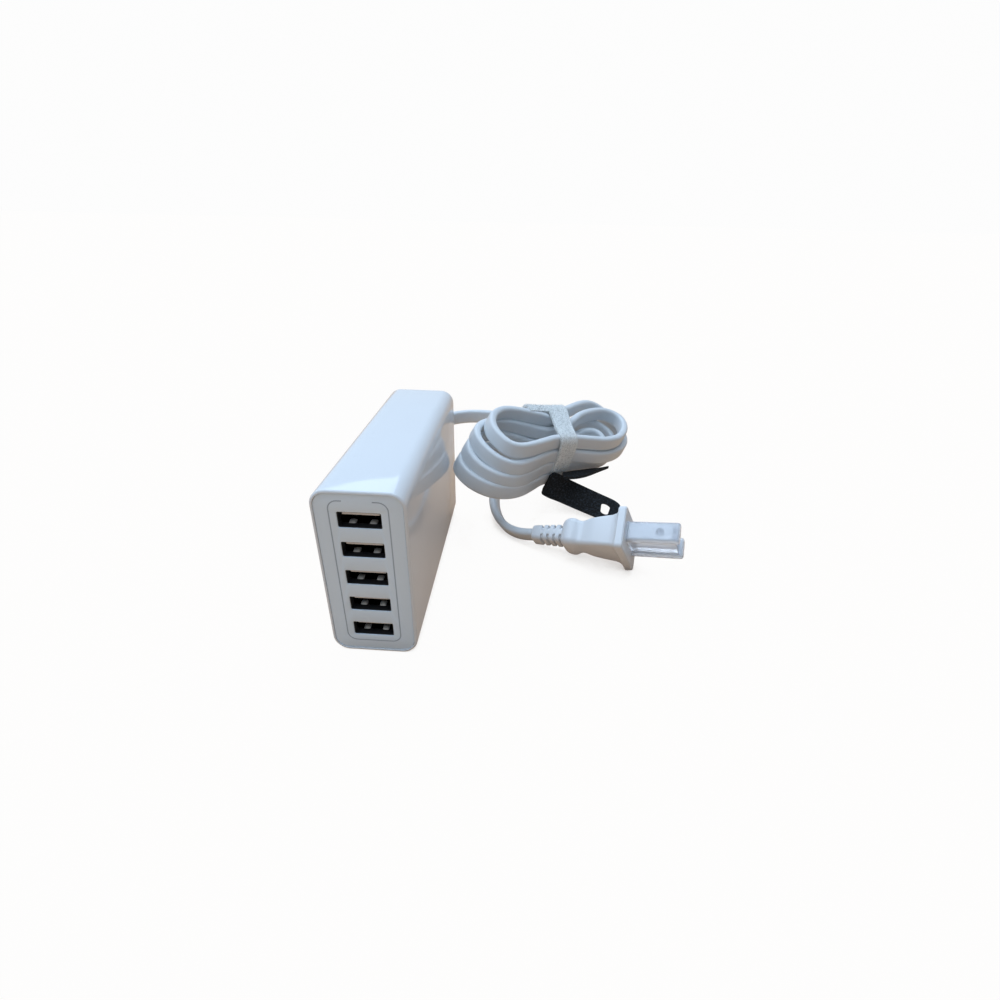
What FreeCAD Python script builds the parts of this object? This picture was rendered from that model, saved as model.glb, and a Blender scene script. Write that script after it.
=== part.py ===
import FreeCAD, Part
import math
import os
import Sketcher

# A five-port USB desktop charger standing on its long narrow side, with its mains
# cord tied in a hank beside it. Millimetres; +Z is up, the ports face -Y, and the
# origin is under the middle of the casing, on the surface that it stands on.

V = FreeCAD.Vector
doc = FreeCAD.newDocument("charger")
sheet = doc.addObject("Spreadsheet::Sheet", "sizes")

SIZES = (
    # casing: a moulded tub, open at the front
    ("body_width", 27.0), ("body_height", 58.0), ("body_depth", 91.0),
    ("body_corner", 5.0), ("rim_round", 0.8), ("wall", 1.6), ("rear_wall", 2.0),
    ("lip", 0.9), ("rail_width", 1.0), ("rail_height", 1.6), ("rail_front_gap", 14.0),
    # front panel with the column of ports
    ("panel_recess", 0.25), ("panel_thickness", 2.0), ("panel_gap", 0.1),
    ("port_wide", 12.5), ("port_high", 5.1), ("port_round", 0.5), ("port_pitch", 9.9),
    # one USB socket: shell, springs, tongue and contacts
    ("shell_wall", 0.3), ("shell_length", 13.8), ("shell_leg", 1.6), ("leg_inset", 3.0),
    ("spring_wide", 2.2), ("spring_apart", 6.0), ("spring_start", 1.2), ("spring_top", 3.4),
    ("spring_end", 7.6), ("spring_rise", 0.55), ("roof_rise", 0.25), ("bore_round", 0.2),
    ("tongue_wide", 11.1), ("tongue_thick", 1.84), ("tongue_setback", 1.0), ("tongue_raise", 0.38),
    ("base_length", 3.4), ("base_gap", 0.07), ("contact_wide", 1.0), ("contact_thick", 0.25),
    ("contact_length", 6.6), ("contact_inset", 1.0), ("contact_outer", 3.5), ("contact_inner", 1.0),
    # circuit board in the rails of the casing
    ("board_thickness", 1.6), ("board_standoff", 2.4), ("board_gap", 0.1), ("board_front_gap", 1.2),
    ("board_rear_gap", 1.0), ("moat_wide", 2.0), ("moat_long", 26.0), ("sheet_thick", 0.4),
    # room behind the sockets, and its height, that the parts of the circuit are laid out for
    ("layout_long", 60.95), ("layout_high", 54.8),
    # mains inlet in the rear wall, and the connector of the cord
    ("inlet_wide", 11.0), ("inlet_high", 18.6), ("inlet_round", 2.4), ("inlet_depth", 13.0),
    ("inlet_flange", 1.1), ("inlet_flange_thick", 1.6), ("socket_wide", 7.8), ("socket_high", 15.8),
    ("socket_deep", 10.0), ("pin_diameter", 2.3), ("pin_apart", 8.6), ("pin_short", 1.0),
    ("plug_fit", 0.15), ("nose_length", 9.4), ("sleeve_diameter", 3.6), ("sleeve_fit", 0.05),
    ("grip_wide", 10.2), ("grip_high", 17.4), ("grip_length", 18.5), ("grip_round", 3.2),
    ("neck_wide", 7.2), ("neck_high", 9.6), ("neck_length", 3.0), ("neck_round", 2.2),
    ("boot_wide", 6.2), ("boot_high", 7.4), ("boot_length", 6.0), ("boot_round", 1.9),
    # flat cord: its free stretches are drawn as a round tube of about the same section
    ("cord_wide", 6.5), ("cord_thick", 3.2), ("cord_tube", 4.6),
    # hank of the cord: turns laid on their edges, one on the other
    ("waist_half", 7.2), ("lobe_back", 16.4), ("lobe_front", 11.6), ("far_back", 13.0),
    ("far_front", 9.4),
    # hook-and-loop strap round the waist of the hank
    ("strap_wide", 10.0), ("strap_thick", 1.4), ("strap_gap", 0.5), ("strap_round", 2.0),
    ("strap_shift", 2.0), ("tail_length", 37.0), ("slot_wide", 3.6), ("slot_long", 6.0),
    ("slot_inset", 5.5), ("end_length", 36.0),
    # mains plug, held on one corner of its flange by the stiff cord
    ("relief_length", 14.2), ("relief_start_wide", 7.4), ("relief_start_high", 6.4),
    ("relief_end_wide", 8.7), ("relief_end_high", 7.8), ("rib_gap", 1.1), ("rib_pitch", 2.7),
    ("rib_first", 4.1), ("rib_core_wide", 5.4), ("rib_core_high", 4.4), ("rib_spine", 2.6),
    ("shoulder_wide", 9.6), ("shoulder_high", 9.4),
    ("collar_wide", 13.5), ("collar_high", 12.0), ("collar_length", 3.4),
    ("waist_wide", 9.8), ("waist_high", 10.7), ("waist_length", 3.9),
    ("grip_wide_mid", 14.4), ("grip_high_mid", 12.6), ("grip_mid_length", 7.5),
    ("grip_end_wide", 16.6), ("grip_end_high", 13.8), ("grip_end_length", 7.8),
    ("section_round", 2.4), ("flange_wide", 23.4), ("flange_high", 17.4), ("flange_thick", 3.15),
    ("flange_round", 1.6), ("blade_wide", 6.35), ("blade_thick", 1.5), ("blade_length", 16.5),
    ("blade_apart", 12.7), ("blade_hole", 3.2), ("blade_hole_inset", 4.4),
    # clear cover over the two blades
    ("cover_wall", 0.8), ("cover_fit", 0.15), ("cover_length", 19.2), ("cover_round", 1.2),
    ("cover_side", 0.7), ("web_thick", 6.4), ("web_short", 1.6),
)
for row, (alias, number) in enumerate(SIZES, start=1):
    sheet.set("A%d" % row, alias)
    sheet.set("B%d" % row, str(number))
    sheet.setAlias("B%d" % row, alias)
doc.recompute()


def size(alias):
    return float(sheet.get(alias))


def bind(thing, **expressions):
    for prop, text in expressions.items():
        thing.setExpression(prop.replace("__", "."), text)


def place(thing, x, y, z):
    bind(thing, Placement__Base__x=x, Placement__Base__y=y, Placement__Base__z=z)


# Places that several pieces share, as expressions of the sizes.
FRONT = "(-sizes.body_depth / 2)"
REAR = "(sizes.body_depth / 2)"
MID = "(sizes.body_height / 2)"
PANEL_FACE = "(%s + sizes.panel_recess)" % FRONT
SHELL_FACE = "(%s + sizes.panel_thickness)" % PANEL_FACE
BOARD_BACK = "(-sizes.body_width / 2 + sizes.wall + sizes.board_standoff)"
BOARD_FACE = "(%s + sizes.board_thickness)" % BOARD_BACK
BOARD_FRONT = "(%s + sizes.board_front_gap)" % SHELL_FACE
BOARD_REAR = "(%s - sizes.inlet_depth - sizes.board_rear_gap)" % REAR
INNER_LOW = "sizes.wall"
INNER_HIGH = "(sizes.body_height - sizes.wall)"
# The circuit spreads over the room that the casing leaves it. In a shorter or lower casing its
# parts are smaller too, as they are in a smaller charger.
SPREAD_LONG = "((%s - %s - sizes.shell_length) / sizes.layout_long)" % (BOARD_REAR, SHELL_FACE)
SPREAD_HIGH = "((%s - %s) / sizes.layout_high)" % (INNER_HIGH, INNER_LOW)
PART_SCALE = "min(1; %s; %s)" % (SPREAD_LONG, SPREAD_HIGH)

nodes = []


def node(thing, label):
    thing.Label = label
    nodes.append(thing)
    return thing


def plane(body, role):
    return [f for f in body.Origin.OriginFeatures if f.Role == role][0]


def new_body(name):
    return doc.addObject("PartDesign::Body", name)


def rounded(body, name, role, wide, high, corner, across="0", up="0", out="0"):
    """A sketched rectangle with rounded corners, centred on its own origin."""
    sk = body.newObject("Sketcher::SketchObject", name)
    sk.AttachmentSupport = (plane(body, role), [""])
    sk.MapMode = "FlatFace"
    bind(sk, AttachmentOffset__Base__x=across, AttachmentOffset__Base__y=up,
         AttachmentOffset__Base__z=out)
    a, b, r, q = 10.0, 8.0, 2.0, math.pi / 2
    up_axis = V(0, 0, 1)
    line, arc = Part.LineSegment, Part.ArcOfCircle

    def corner_arc(cx, cy, start):
        return arc(Part.Circle(V(cx, cy, 0), up_axis, r), start, start + q)

    sk.addGeometry([
        line(V(r - a, -b, 0), V(a - r, -b, 0)), corner_arc(a - r, r - b, -q),
        line(V(a, r - b, 0), V(a, b - r, 0)), corner_arc(a - r, b - r, 0),
        line(V(a - r, b, 0), V(r - a, b, 0)), corner_arc(r - a, b - r, q),
        line(V(-a, b - r, 0), V(-a, r - b, 0)), corner_arc(r - a, r - b, 2 * q)], False)
    con = Sketcher.Constraint
    sk.addConstraint([con("Tangent", i, 2, (i + 1) % 8, 1) for i in range(8)])
    sk.addConstraint([con("Horizontal", 0), con("Horizontal", 4), con("Vertical", 2),
                      con("Vertical", 6)])
    sk.addConstraint([con("Equal", 1, i) for i in (3, 5, 7)])
    sk.addConstraint(con("Symmetric", 1, 3, 5, 3, -1, 1))
    for label, dim, text in (("wide", con("DistanceX", 6, 1, 2, 1, 2 * a), wide),
                             ("high", con("DistanceY", 0, 1, 4, 1, 2 * b), high),
                             ("corner", con("Radius", 1, r), corner)):
        sk.renameConstraint(sk.addConstraint(dim), label)
        bind(sk, **{"Constraints__" + label: text})
    return sk


def extrude(body, kind, name, sketch, length, reverse=False):
    """A Pad or a Pocket of one sketch; a pocket has to take something away."""
    before = body.Shape.Volume if kind == "Pocket" else 0.0
    feature = body.newObject("PartDesign::" + kind, name)
    feature.Profile = sketch
    feature.Reversed = reverse
    bind(feature, Length=length)
    sketch.Visibility = False
    doc.recompute()
    if kind == "Pocket" and not body.Shape.Volume < before - 1e-6:
        raise RuntimeError("%s cuts nothing" % name)
    return feature


def block(name, long, wide, high, x, y, z):
    box = doc.addObject("Part::Box", name)
    bind(box, Length=long, Width=wide, Height=high)
    place(box, x, y, z)
    return box


def rod(name, diameter, length, axis, x, y, z):
    bar = doc.addObject("Part::Cylinder", name)
    bar.Placement = FreeCAD.Placement(V(), FreeCAD.Rotation(V(0, 0, 1), axis))
    bind(bar, Radius="(%s) / 2" % diameter, Height=length)
    place(bar, x, y, z)
    return bar


def join(name, things):
    fused = doc.addObject("Part::MultiFuse", name)
    fused.Shapes = things
    return fused


def cut(name, base, tool):
    result = doc.addObject("Part::Cut", name)
    result.Base, result.Tool = base, tool
    return result


def group(name, things):
    pack = doc.addObject("Part::Compound", name)
    pack.Links = things
    return pack


# Casing: one glossy moulded tub. The front panel drops into a rebate behind a thin lip,
# two pairs of rails hold the circuit board, and the rear wall lets the mains inlet through.
shell = new_body("casing_tub")
outline = rounded(shell, "casing_outline", "XZ_Plane", "sizes.body_width", "sizes.body_height",
                  "sizes.body_corner", up=MID, out="sizes.body_depth / 2")
tub = extrude(shell, "Pad", "casing_block", outline, "sizes.body_depth", True)
ends = [size("body_depth") / 2, -size("body_depth") / 2]
rims = ["Edge%d" % i for i, e in enumerate(tub.Shape.Edges, start=1)
        if any(all(abs(v.Point.y - y) < 1e-6 for v in e.Vertexes) for y in ends)]
rim = shell.newObject("PartDesign::Fillet", "casing_rims")
rim.Base = (tub, rims)
bind(rim, Radius="sizes.rim_round")
doc.recompute()
hollow = rounded(shell, "casing_hollow_outline", "XZ_Plane", "sizes.body_width - 2 * sizes.wall",
                 "sizes.body_height - 2 * sizes.wall", "sizes.body_corner - sizes.wall", up=MID,
                 out="sizes.body_depth / 2")
extrude(shell, "Pocket", "casing_hollow", hollow, "sizes.body_depth - sizes.rear_wall")
seat = rounded(shell, "panel_seat_outline", "XZ_Plane", "sizes.body_width - 2 * sizes.lip",
               "sizes.body_height - 2 * sizes.lip", "sizes.body_corner - sizes.lip", up=MID,
               out="sizes.body_depth / 2")
extrude(shell, "Pocket", "panel_seat", seat, "sizes.panel_recess + sizes.panel_thickness")
mouth = rounded(shell, "inlet_hole_outline", "XZ_Plane", "sizes.inlet_wide + 2 * sizes.plug_fit",
                "sizes.inlet_high + 2 * sizes.plug_fit", "sizes.inlet_round", up=MID,
                out="-sizes.body_depth / 2")
extrude(shell, "Pocket", "inlet_hole", mouth, "sizes.rear_wall", True)
rails = []
for level, foot in (("low", INNER_LOW), ("high", "%s - sizes.rail_height" % INNER_HIGH)):
    for side, edge in (("back", "%s - sizes.board_gap - sizes.rail_width" % BOARD_BACK),
                       ("face", "%s + sizes.board_gap" % BOARD_FACE)):
        rails.append(block("rail_%s_%s" % (level, side), "sizes.rail_width",
                           "%s - sizes.rear_wall - %s - sizes.rail_front_gap" % (REAR, SHELL_FACE),
                           "sizes.rail_height", edge, "%s + sizes.rail_front_gap" % SHELL_FACE, foot))
# each rail runs into the rounded inner corner, so it is sunk in the wall it stands on
for bar, foot in zip(rails, ("sizes.wall / 2",) * 2 + ("%s - sizes.rail_height" % INNER_HIGH,) * 2):
    bind(bar, Height="sizes.rail_height + sizes.wall / 2", Placement__Base__z=foot)
node(join("casing", [shell] + rails), "housing")

# Front panel: a flat plate with five level slots in a column, seated in the rebate.
panel = new_body("panel")
face = rounded(panel, "panel_outline", "XZ_Plane",
               "sizes.body_width - 2 * sizes.lip - 2 * sizes.panel_gap",
               "sizes.body_height - 2 * sizes.lip - 2 * sizes.panel_gap",
               "sizes.body_corner - sizes.lip - sizes.panel_gap", up=MID, out="-%s" % PANEL_FACE)
extrude(panel, "Pad", "panel_plate", face, "sizes.panel_thickness", True)
slot = rounded(panel, "port_outline", "XZ_Plane", "sizes.port_wide", "sizes.port_high",
               "sizes.port_round", up="%s - 2 * sizes.port_pitch" % MID, out="-%s" % PANEL_FACE)
port = extrude(panel, "Pocket", "port", slot, "sizes.panel_thickness")
column = panel.newObject("PartDesign::LinearPattern", "port_column")
column.Originals = [port]
column.Direction = (plane(panel, "Z_Axis"), [""])
column.Occurrences = 5
bind(column, Length="4 * sizes.port_pitch")
panel.Tip = column
node(panel, "front_panel")

# Five USB sockets behind the panel. Each is a sheet-metal shell with two springs in its
# floor and two in its roof, a moulded tongue in the upper half, and four contacts under it.
for number in range(5):
    tag = str(number + 1)
    middle = "%s + %d * sizes.port_pitch" % (MID, 2 - number)
    can = new_body("shell_can_" + tag)
    skin = rounded(can, "shell_skin_" + tag, "XZ_Plane", "sizes.port_wide + 2 * sizes.shell_wall",
                   "sizes.port_high + 2 * sizes.shell_wall", "sizes.port_round + sizes.shell_wall")
    extrude(can, "Pad", "shell_solid_" + tag, skin, "sizes.shell_length", True)
    bore = rounded(can, "shell_bore_outline_" + tag, "XZ_Plane", "sizes.port_wide",
                   "sizes.port_high", "sizes.bore_round")
    extrude(can, "Pocket", "shell_bore_" + tag, bore, "sizes.shell_length")
    bent = can.newObject("Sketcher::SketchObject", "spring_profile_" + tag)
    bent.AttachmentSupport = (plane(can, "YZ_Plane"), [""])
    bent.MapMode = "FlatFace"
    bind(bent, AttachmentOffset__Base__z="sizes.spring_apart / 2")
    for sign in (-1, 1):
        low = len(bent.Geometry)
        tri = [V(1, sign * 3, 0), V(3, sign * 2, 0), V(7, sign * 3, 0)]
        bent.addGeometry([Part.LineSegment(tri[i], tri[(i + 1) % 3]) for i in range(3)], False)
        con = Sketcher.Constraint
        bent.addConstraint([con("Coincident", low + i, 2, low + (i + 1) % 3, 1) for i in range(3)])
        bent.addConstraint(con("Horizontal", low + 2))
        side, rise = ("a", "spring_rise") if sign < 0 else ("b", "roof_rise")
        root = "(sizes.port_high / 2 + sizes.shell_wall / 2)"
        for label, rule, at, text in (
                ("start", "DistanceX", low, "sizes.spring_start"),
                ("peak", "DistanceX", low + 1, "sizes.spring_top"),
                ("end", "DistanceX", low + 2, "sizes.spring_end"),
                ("root", "DistanceY", low, "%d * %s" % (sign, root)),
                ("rise", "DistanceY", low + 1,
                 "%d * (sizes.port_high / 2 - sizes.%s)" % (sign, rise))):
            start = bent.Geometry[at].StartPoint
            now = start.x if rule == "DistanceX" else start.y
            at_once = bent.addConstraint(con(rule, -1, 1, at, 1, now))
            bent.renameConstraint(at_once, label + side)
            bind(bent, **{"Constraints__" + label + side: text})
    leaf = extrude(can, "Pad", "spring_" + tag, bent, "sizes.spring_wide")
    leaf.Midplane = True
    pair = can.newObject("PartDesign::Mirrored", "spring_pair_" + tag)
    pair.Originals = [leaf]
    pair.MirrorPlane = (plane(can, "YZ_Plane"), [""])
    can.Tip = pair
    place(can, "0", SHELL_FACE, middle)
    legs = []
    for end, along in (("front", "sizes.leg_inset"),
                       ("rear", "sizes.shell_length - sizes.leg_inset - sizes.shell_leg")):
        legs.append(block("leg_%s_%s" % (end, tag),
                          "-sizes.port_wide / 2 - sizes.shell_wall / 2 - %s" % BOARD_FACE,
                          "sizes.shell_leg", "sizes.shell_leg", BOARD_FACE,
                          "%s + %s" % (SHELL_FACE, along), "%s - sizes.shell_leg / 2" % middle))
    node(join("shell_" + tag, [can] + legs), "usb_shell_" + tag)

    base = block("tongue_base_" + tag, "sizes.port_wide - 2 * sizes.base_gap", "sizes.base_length",
                 "sizes.port_high - 2 * sizes.base_gap",
                 "sizes.base_gap - sizes.port_wide / 2",
                 "%s + sizes.shell_length - sizes.base_length" % SHELL_FACE,
                 "%s - sizes.port_high / 2 + sizes.base_gap" % middle)
    blade = block("tongue_blade_" + tag, "sizes.tongue_wide",
                  "sizes.shell_length - sizes.base_length - sizes.tongue_setback",
                  "sizes.tongue_thick", "-sizes.tongue_wide / 2",
                  "%s + sizes.tongue_setback" % SHELL_FACE, "%s + sizes.tongue_raise" % middle)
    node(join("tongue_" + tag, [base, blade]), "usb_tongue_" + tag)

    strips = []
    for spot, off in enumerate(("-sizes.contact_outer", "-sizes.contact_inner",
                                "sizes.contact_inner", "sizes.contact_outer")):
        strips.append(block("contact_%s_%d" % (tag, spot), "sizes.contact_wide",
                            "sizes.contact_length", "sizes.contact_thick",
                            "%s - sizes.contact_wide / 2" % off,
                            "%s + sizes.tongue_setback + sizes.contact_inset" % SHELL_FACE,
                            "%s + sizes.tongue_raise - sizes.contact_thick" % middle))
    node(group("contacts_" + tag, strips), "usb_contacts_" + tag)

# Circuit board on edge in the rails, with a slot between its mains half and its USB half,
# and an insulating sheet between it and the side wall.
board = block("board_plate", "sizes.board_thickness", "%s - %s" % (BOARD_REAR, BOARD_FRONT),
              "%s - %s - 6 * sizes.board_gap" % (INNER_HIGH, INNER_LOW), BOARD_BACK, BOARD_FRONT,
              "%s + 3 * sizes.board_gap" % INNER_LOW)
moat = block("board_moat", "3 * sizes.board_thickness", "sizes.moat_wide", "sizes.moat_long",
             "%s - sizes.board_thickness" % BOARD_BACK, "(%s + %s) / 2" % (BOARD_REAR, BOARD_FRONT),
             "%s + 3 * sizes.board_gap - sizes.wall" % INNER_LOW)
node(cut("board", board, moat), "main_board")
film = block("film", "sizes.sheet_thick", "%s - %s" % (BOARD_REAR, BOARD_FRONT),
             "sizes.body_height - 2 * sizes.body_corner", "-sizes.body_width / 2 + sizes.wall",
             BOARD_FRONT, "sizes.body_corner")
node(film, "insulation_sheet")

# Parts of the power circuit. All stand on the face of the board; along is measured
# from the rear edge of the board towards the ports, up from the middle of its height.
# Two of them lie against a face of their heat sink.
BLOCKS = (
    # label, tall, long, high, along, up
    ("x_capacitor", 11.0, 6.0, 13.0, 6.0, -17.5),
    ("bridge_rectifier", 12.0, 3.4, 14.0, 14.5, -14.0),
    ("primary_heat_sink", 15.0, 1.6, 18.0, 25.0, 16.5),
    ("optocoupler", 3.4, 6.4, 4.6, 36.0, 21.5),
    ("secondary_heat_sink", 15.0, 1.6, 20.0, 51.0, -15.0),
    ("control_chip", 1.5, 4.0, 5.0, 55.0, 20.5),
)
COOLED = (
    # label, tall, long, high, up
    ("switch_transistor", 11.0, 4.2, 10.0, 16.5),
    ("secondary_rectifier", 11.0, 4.2, 10.0, -14.0),
)
SINKS = {"switch_transistor": ("primary_heat_sink", "+"),
         "secondary_rectifier": ("secondary_heat_sink", "-")}
RODS = (
    # label, diameter, tall, along, up
    ("fuse", 5.0, 8.4, 4.5, 22.5),
    ("bulk_capacitor_1", 10.0, 17.0, 15.5, 3.0),
    ("bulk_capacitor_2", 10.0, 17.0, 12.5, 14.5),
    ("output_capacitor_1", 8.0, 14.0, 54.0, 11.0),
    ("output_capacitor_2", 8.0, 14.0, 55.5, 1.0),
    ("y_capacitor", 7.0, 3.6, 34.0, -22.0),
)
row = len(SIZES) + 1
for table, words in ((BLOCKS, ("tall", "long", "high", "along", "up")),
                     (COOLED, ("tall", "long", "high", "up")),
                     (RODS, ("wide", "tall", "along", "up"))):
    for entry in table:
        for word, number in zip(words, entry[1:]):
            sheet.set("A%d" % row, "%s_%s" % (entry[0], word))
            sheet.set("B%d" % row, str(number))
            sheet.setAlias("B%d" % row, "%s_%s" % (entry[0], word))
            row += 1
for alias, number in (("core_long", 20.0), ("core_high", 22.0), ("core_tall", 17.0), ("core_leg", 4.6),
                      ("core_along", 36.0), ("core_up", 0.0), ("winding_inset", 0.4), ("winding_out", 2.8),
                      ("choke_wide", 12.0), ("choke_thick", 4.6), ("choke_along", 5.6),
                      ("choke_up", -2.5), ("choke_hole", 4.6)):
    sheet.set("A%d" % row, alias)
    sheet.set("B%d" % row, str(number))
    sheet.setAlias("B%d" % row, alias)
    row += 1
doc.recompute()


def fitted(alias):
    return "(sizes.%s * %s)" % (alias, PART_SCALE)


def along_board(label):
    return "%s - sizes.%s_along * %s" % (BOARD_REAR, label, SPREAD_LONG)


def up_board(label):
    return "%s + sizes.%s_up * %s" % (MID, label, SPREAD_HIGH)


def on_face(label, y):
    long, high = fitted(label + "_long"), fitted(label + "_high")
    node(block(label + "_block", "sizes.%s_tall" % label, long, high, BOARD_FACE,
               "%s - %s / 2" % (y, long), "%s - %s / 2" % (up_board(label), high)), label)


for label, *_ in BLOCKS:
    on_face(label, along_board(label))
for label, (sink, side) in SINKS.items():
    on_face(label, "%s %s (%s + %s) / 2" % (along_board(sink), side, fitted(sink + "_long"),
                                           fitted(label + "_long")))
for label, *_ in RODS:
    can = rod(label + "_can", fitted(label + "_wide"), "sizes.%s_tall" % label, V(1, 0, 0),
              BOARD_FACE, along_board(label), up_board(label))
    node(can, label)

# Transformer: a ferrite core of two side legs and a centre leg, with the wound bobbin between.
y, z = along_board("core"), up_board("core")
long, high, leg = fitted("core_long"), fitted("core_high"), fitted("core_leg")
inset, out = fitted("winding_inset"), fitted("winding_out")
frame = block("core_block", "sizes.core_tall", long, high, BOARD_FACE, "%s - %s / 2" % (y, long),
              "%s - %s / 2" % (z, high))
window = block("core_window", "sizes.core_tall - 2 * %s" % leg, "2 * %s" % long,
               "%s - 2 * %s" % (high, leg), "%s + %s" % (BOARD_FACE, leg), "%s - %s" % (y, long),
               "%s - %s / 2 + %s" % (z, high, leg))
node(cut("core", frame, window), "transformer_core")
winding = block("winding_block", "sizes.core_tall - 2 * %s - 2 * %s" % (leg, inset),
                "%s + 2 * %s" % (long, out), "%s - 2 * %s - 2 * %s" % (high, leg, inset),
                "%s + %s + %s" % (BOARD_FACE, leg, inset), "%s - %s / 2 - %s" % (y, long, out),
                "%s - %s / 2 + %s + %s" % (z, high, leg, inset))
node(winding, "transformer_winding")

# Choke: a wound ring standing on the board.
wide, thick = fitted("choke_wide"), fitted("choke_thick")
middle = ("%s + %s / 2" % (BOARD_FACE, wide), "%s - %s / 2" % (along_board("choke"), thick),
          up_board("choke"))
ring = rod("choke_ring", wide, thick, V(0, 1, 0), *middle)
bore = rod("choke_bore", fitted("choke_hole"), thick, V(0, 1, 0), *middle)
node(cut("choke", ring, bore), "mains_choke")

# Mains inlet: a moulded socket that fills the hole in the rear wall and bears on the wall
# from inside with its flange; two round pins stand on the floor of the socket.
inlet = new_body("inlet")
stem = rounded(inlet, "inlet_outline", "XZ_Plane", "sizes.inlet_wide", "sizes.inlet_high",
               "sizes.inlet_round", up=MID, out="-%s" % REAR)
extrude(inlet, "Pad", "inlet_block", stem, "sizes.inlet_depth")
brim = rounded(inlet, "inlet_brim_outline", "XZ_Plane", "sizes.inlet_wide + 2 * sizes.inlet_flange",
               "sizes.inlet_high + 2 * sizes.inlet_flange", "sizes.inlet_round", up=MID,
               out="-%s + sizes.rear_wall" % REAR)
extrude(inlet, "Pad", "inlet_brim", brim, "sizes.inlet_flange_thick")
well = rounded(inlet, "socket_outline", "XZ_Plane", "sizes.socket_wide", "sizes.socket_high",
               "sizes.socket_wide / 2 - sizes.base_gap", up=MID, out="-%s" % REAR)
extrude(inlet, "Pocket", "socket", well, "sizes.socket_deep", True)
node(inlet, "ac_inlet")
pins = [rod("pin_%s" % name, "sizes.pin_diameter", "sizes.socket_deep - sizes.pin_short", V(0, 1, 0),
            "0", "%s - sizes.socket_deep" % REAR, "%s %s sizes.pin_apart / 2" % (MID, sign))
        for name, sign in (("low", "-"), ("high", "+"))]
node(group("pins", pins), "inlet_pins")

# Connector of the cord: a nose that fills the socket, a tapered grip and a short boot.
grip = new_body("connector")
nose = rounded(grip, "nose_outline", "XZ_Plane", "sizes.socket_wide - 2 * sizes.plug_fit",
               "sizes.socket_high - 2 * sizes.plug_fit",
               "sizes.socket_wide / 2 - sizes.plug_fit - sizes.base_gap", up=MID, out="-%s" % REAR)
extrude(grip, "Pad", "nose", nose, "sizes.nose_length")
steps = (("grip_wide", "grip_high", "grip_round", "0"),
         ("grip_wide", "grip_high", "grip_round", "sizes.grip_length / 2"),
         ("neck_wide", "neck_high", "neck_round", "sizes.grip_length"),
         ("boot_wide", "boot_high", "boot_round",
          "sizes.grip_length + sizes.neck_length + sizes.boot_length"))
sections = [rounded(grip, "grip_section_%d" % i, "XZ_Plane", "sizes." + wide, "sizes." + high,
                    "sizes." + corner, up=MID, out="-%s - (%s)" % (REAR, along))
            for i, (wide, high, corner, along) in enumerate(steps)]
loft = grip.newObject("PartDesign::AdditiveLoft", "grip_loft")
loft.Profile = sections[0]
loft.Sections = sections[1:]
loft.Ruled = True
doc.recompute()
for name, sign in (("low", "-"), ("high", "+")):
    hole = rounded(grip, "sleeve_outline_" + name, "XZ_Plane",
                   "sizes.sleeve_diameter + 2 * sizes.sleeve_fit",
                   "sizes.sleeve_diameter + 2 * sizes.sleeve_fit", "sizes.sleeve_diameter / 2",
                   up="%s %s sizes.pin_apart / 2" % (MID, sign), out="-%s + sizes.nose_length" % REAR)
    extrude(grip, "Pocket", "sleeve_hole_" + name, hole, "sizes.nose_length")
node(grip, "connector_body")
sleeves = []
for name, sign in (("low", "-"), ("high", "+")):
    at = "%s %s sizes.pin_apart / 2" % (MID, sign)
    tube = rod("sleeve_tube_" + name, "sizes.sleeve_diameter", "sizes.nose_length", V(0, 1, 0), "0",
               "%s - sizes.nose_length" % REAR, at)
    bore = rod("sleeve_bore_" + name, "sizes.pin_diameter + 2 * sizes.sleeve_fit",
               "sizes.nose_length", V(0, 1, 0), "0", "%s - sizes.nose_length" % REAR, at)
    sleeves.append(cut("sleeve_" + name, tube, bore))
node(group("sleeves", sleeves), "connector_contacts")

# Mains plug, drawn along +X from the end of its strain relief, then turned so that one corner of
# its flange is on the surface: a ribbed relief, one skin over collar, waist and grip, and the flange.
PLUG = FreeCAD.Placement(V(50.37, 19.13, 5.4), FreeCAD.Rotation(-20.33, -12.91, -55.45))
SHOULDER = "sizes.relief_length"
COLLAR = "(%s + sizes.collar_length)" % SHOULDER
WAIST = "(%s + sizes.waist_length)" % COLLAR
GRIP_MID = "(%s + sizes.grip_mid_length)" % WAIST
GRIP_END = "(%s + sizes.grip_end_length)" % GRIP_MID
FLANGE_FACE = "(%s + sizes.flange_thick)" % GRIP_END
plug = new_body("plug")


def plug_section(name, wide, high, along):
    return rounded(plug, name, "YZ_Plane", "sizes." + wide, "sizes." + high, "sizes.section_round",
                   out=along)


def plug_loft(name, parts, ruled):
    skin = plug.newObject("PartDesign::AdditiveLoft", name)
    skin.Profile = parts[0]
    skin.Sections = parts[1:]
    skin.Ruled = ruled
    doc.recompute()
    return skin


plug_loft("relief", [plug_section("relief_a", "relief_start_wide", "relief_start_high", "0"),
                     plug_section("relief_b", "relief_end_wide", "relief_end_high", SHOULDER)], True)
plug_loft("grip", [plug_section("grip_a", "shoulder_wide", "shoulder_high", SHOULDER),
                   plug_section("grip_b", "collar_wide", "collar_high", COLLAR),
                   plug_section("grip_c", "waist_wide", "waist_high", WAIST),
                   plug_section("grip_d", "grip_wide_mid", "grip_high_mid", GRIP_MID),
                   plug_section("grip_e", "grip_end_wide", "grip_end_high", GRIP_END)], False)
disc = rounded(plug, "flange_outline", "YZ_Plane", "sizes.flange_wide", "sizes.flange_high",
               "sizes.flange_round", out=GRIP_END)
extrude(plug, "Pad", "flange", disc, "sizes.flange_thick")
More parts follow.
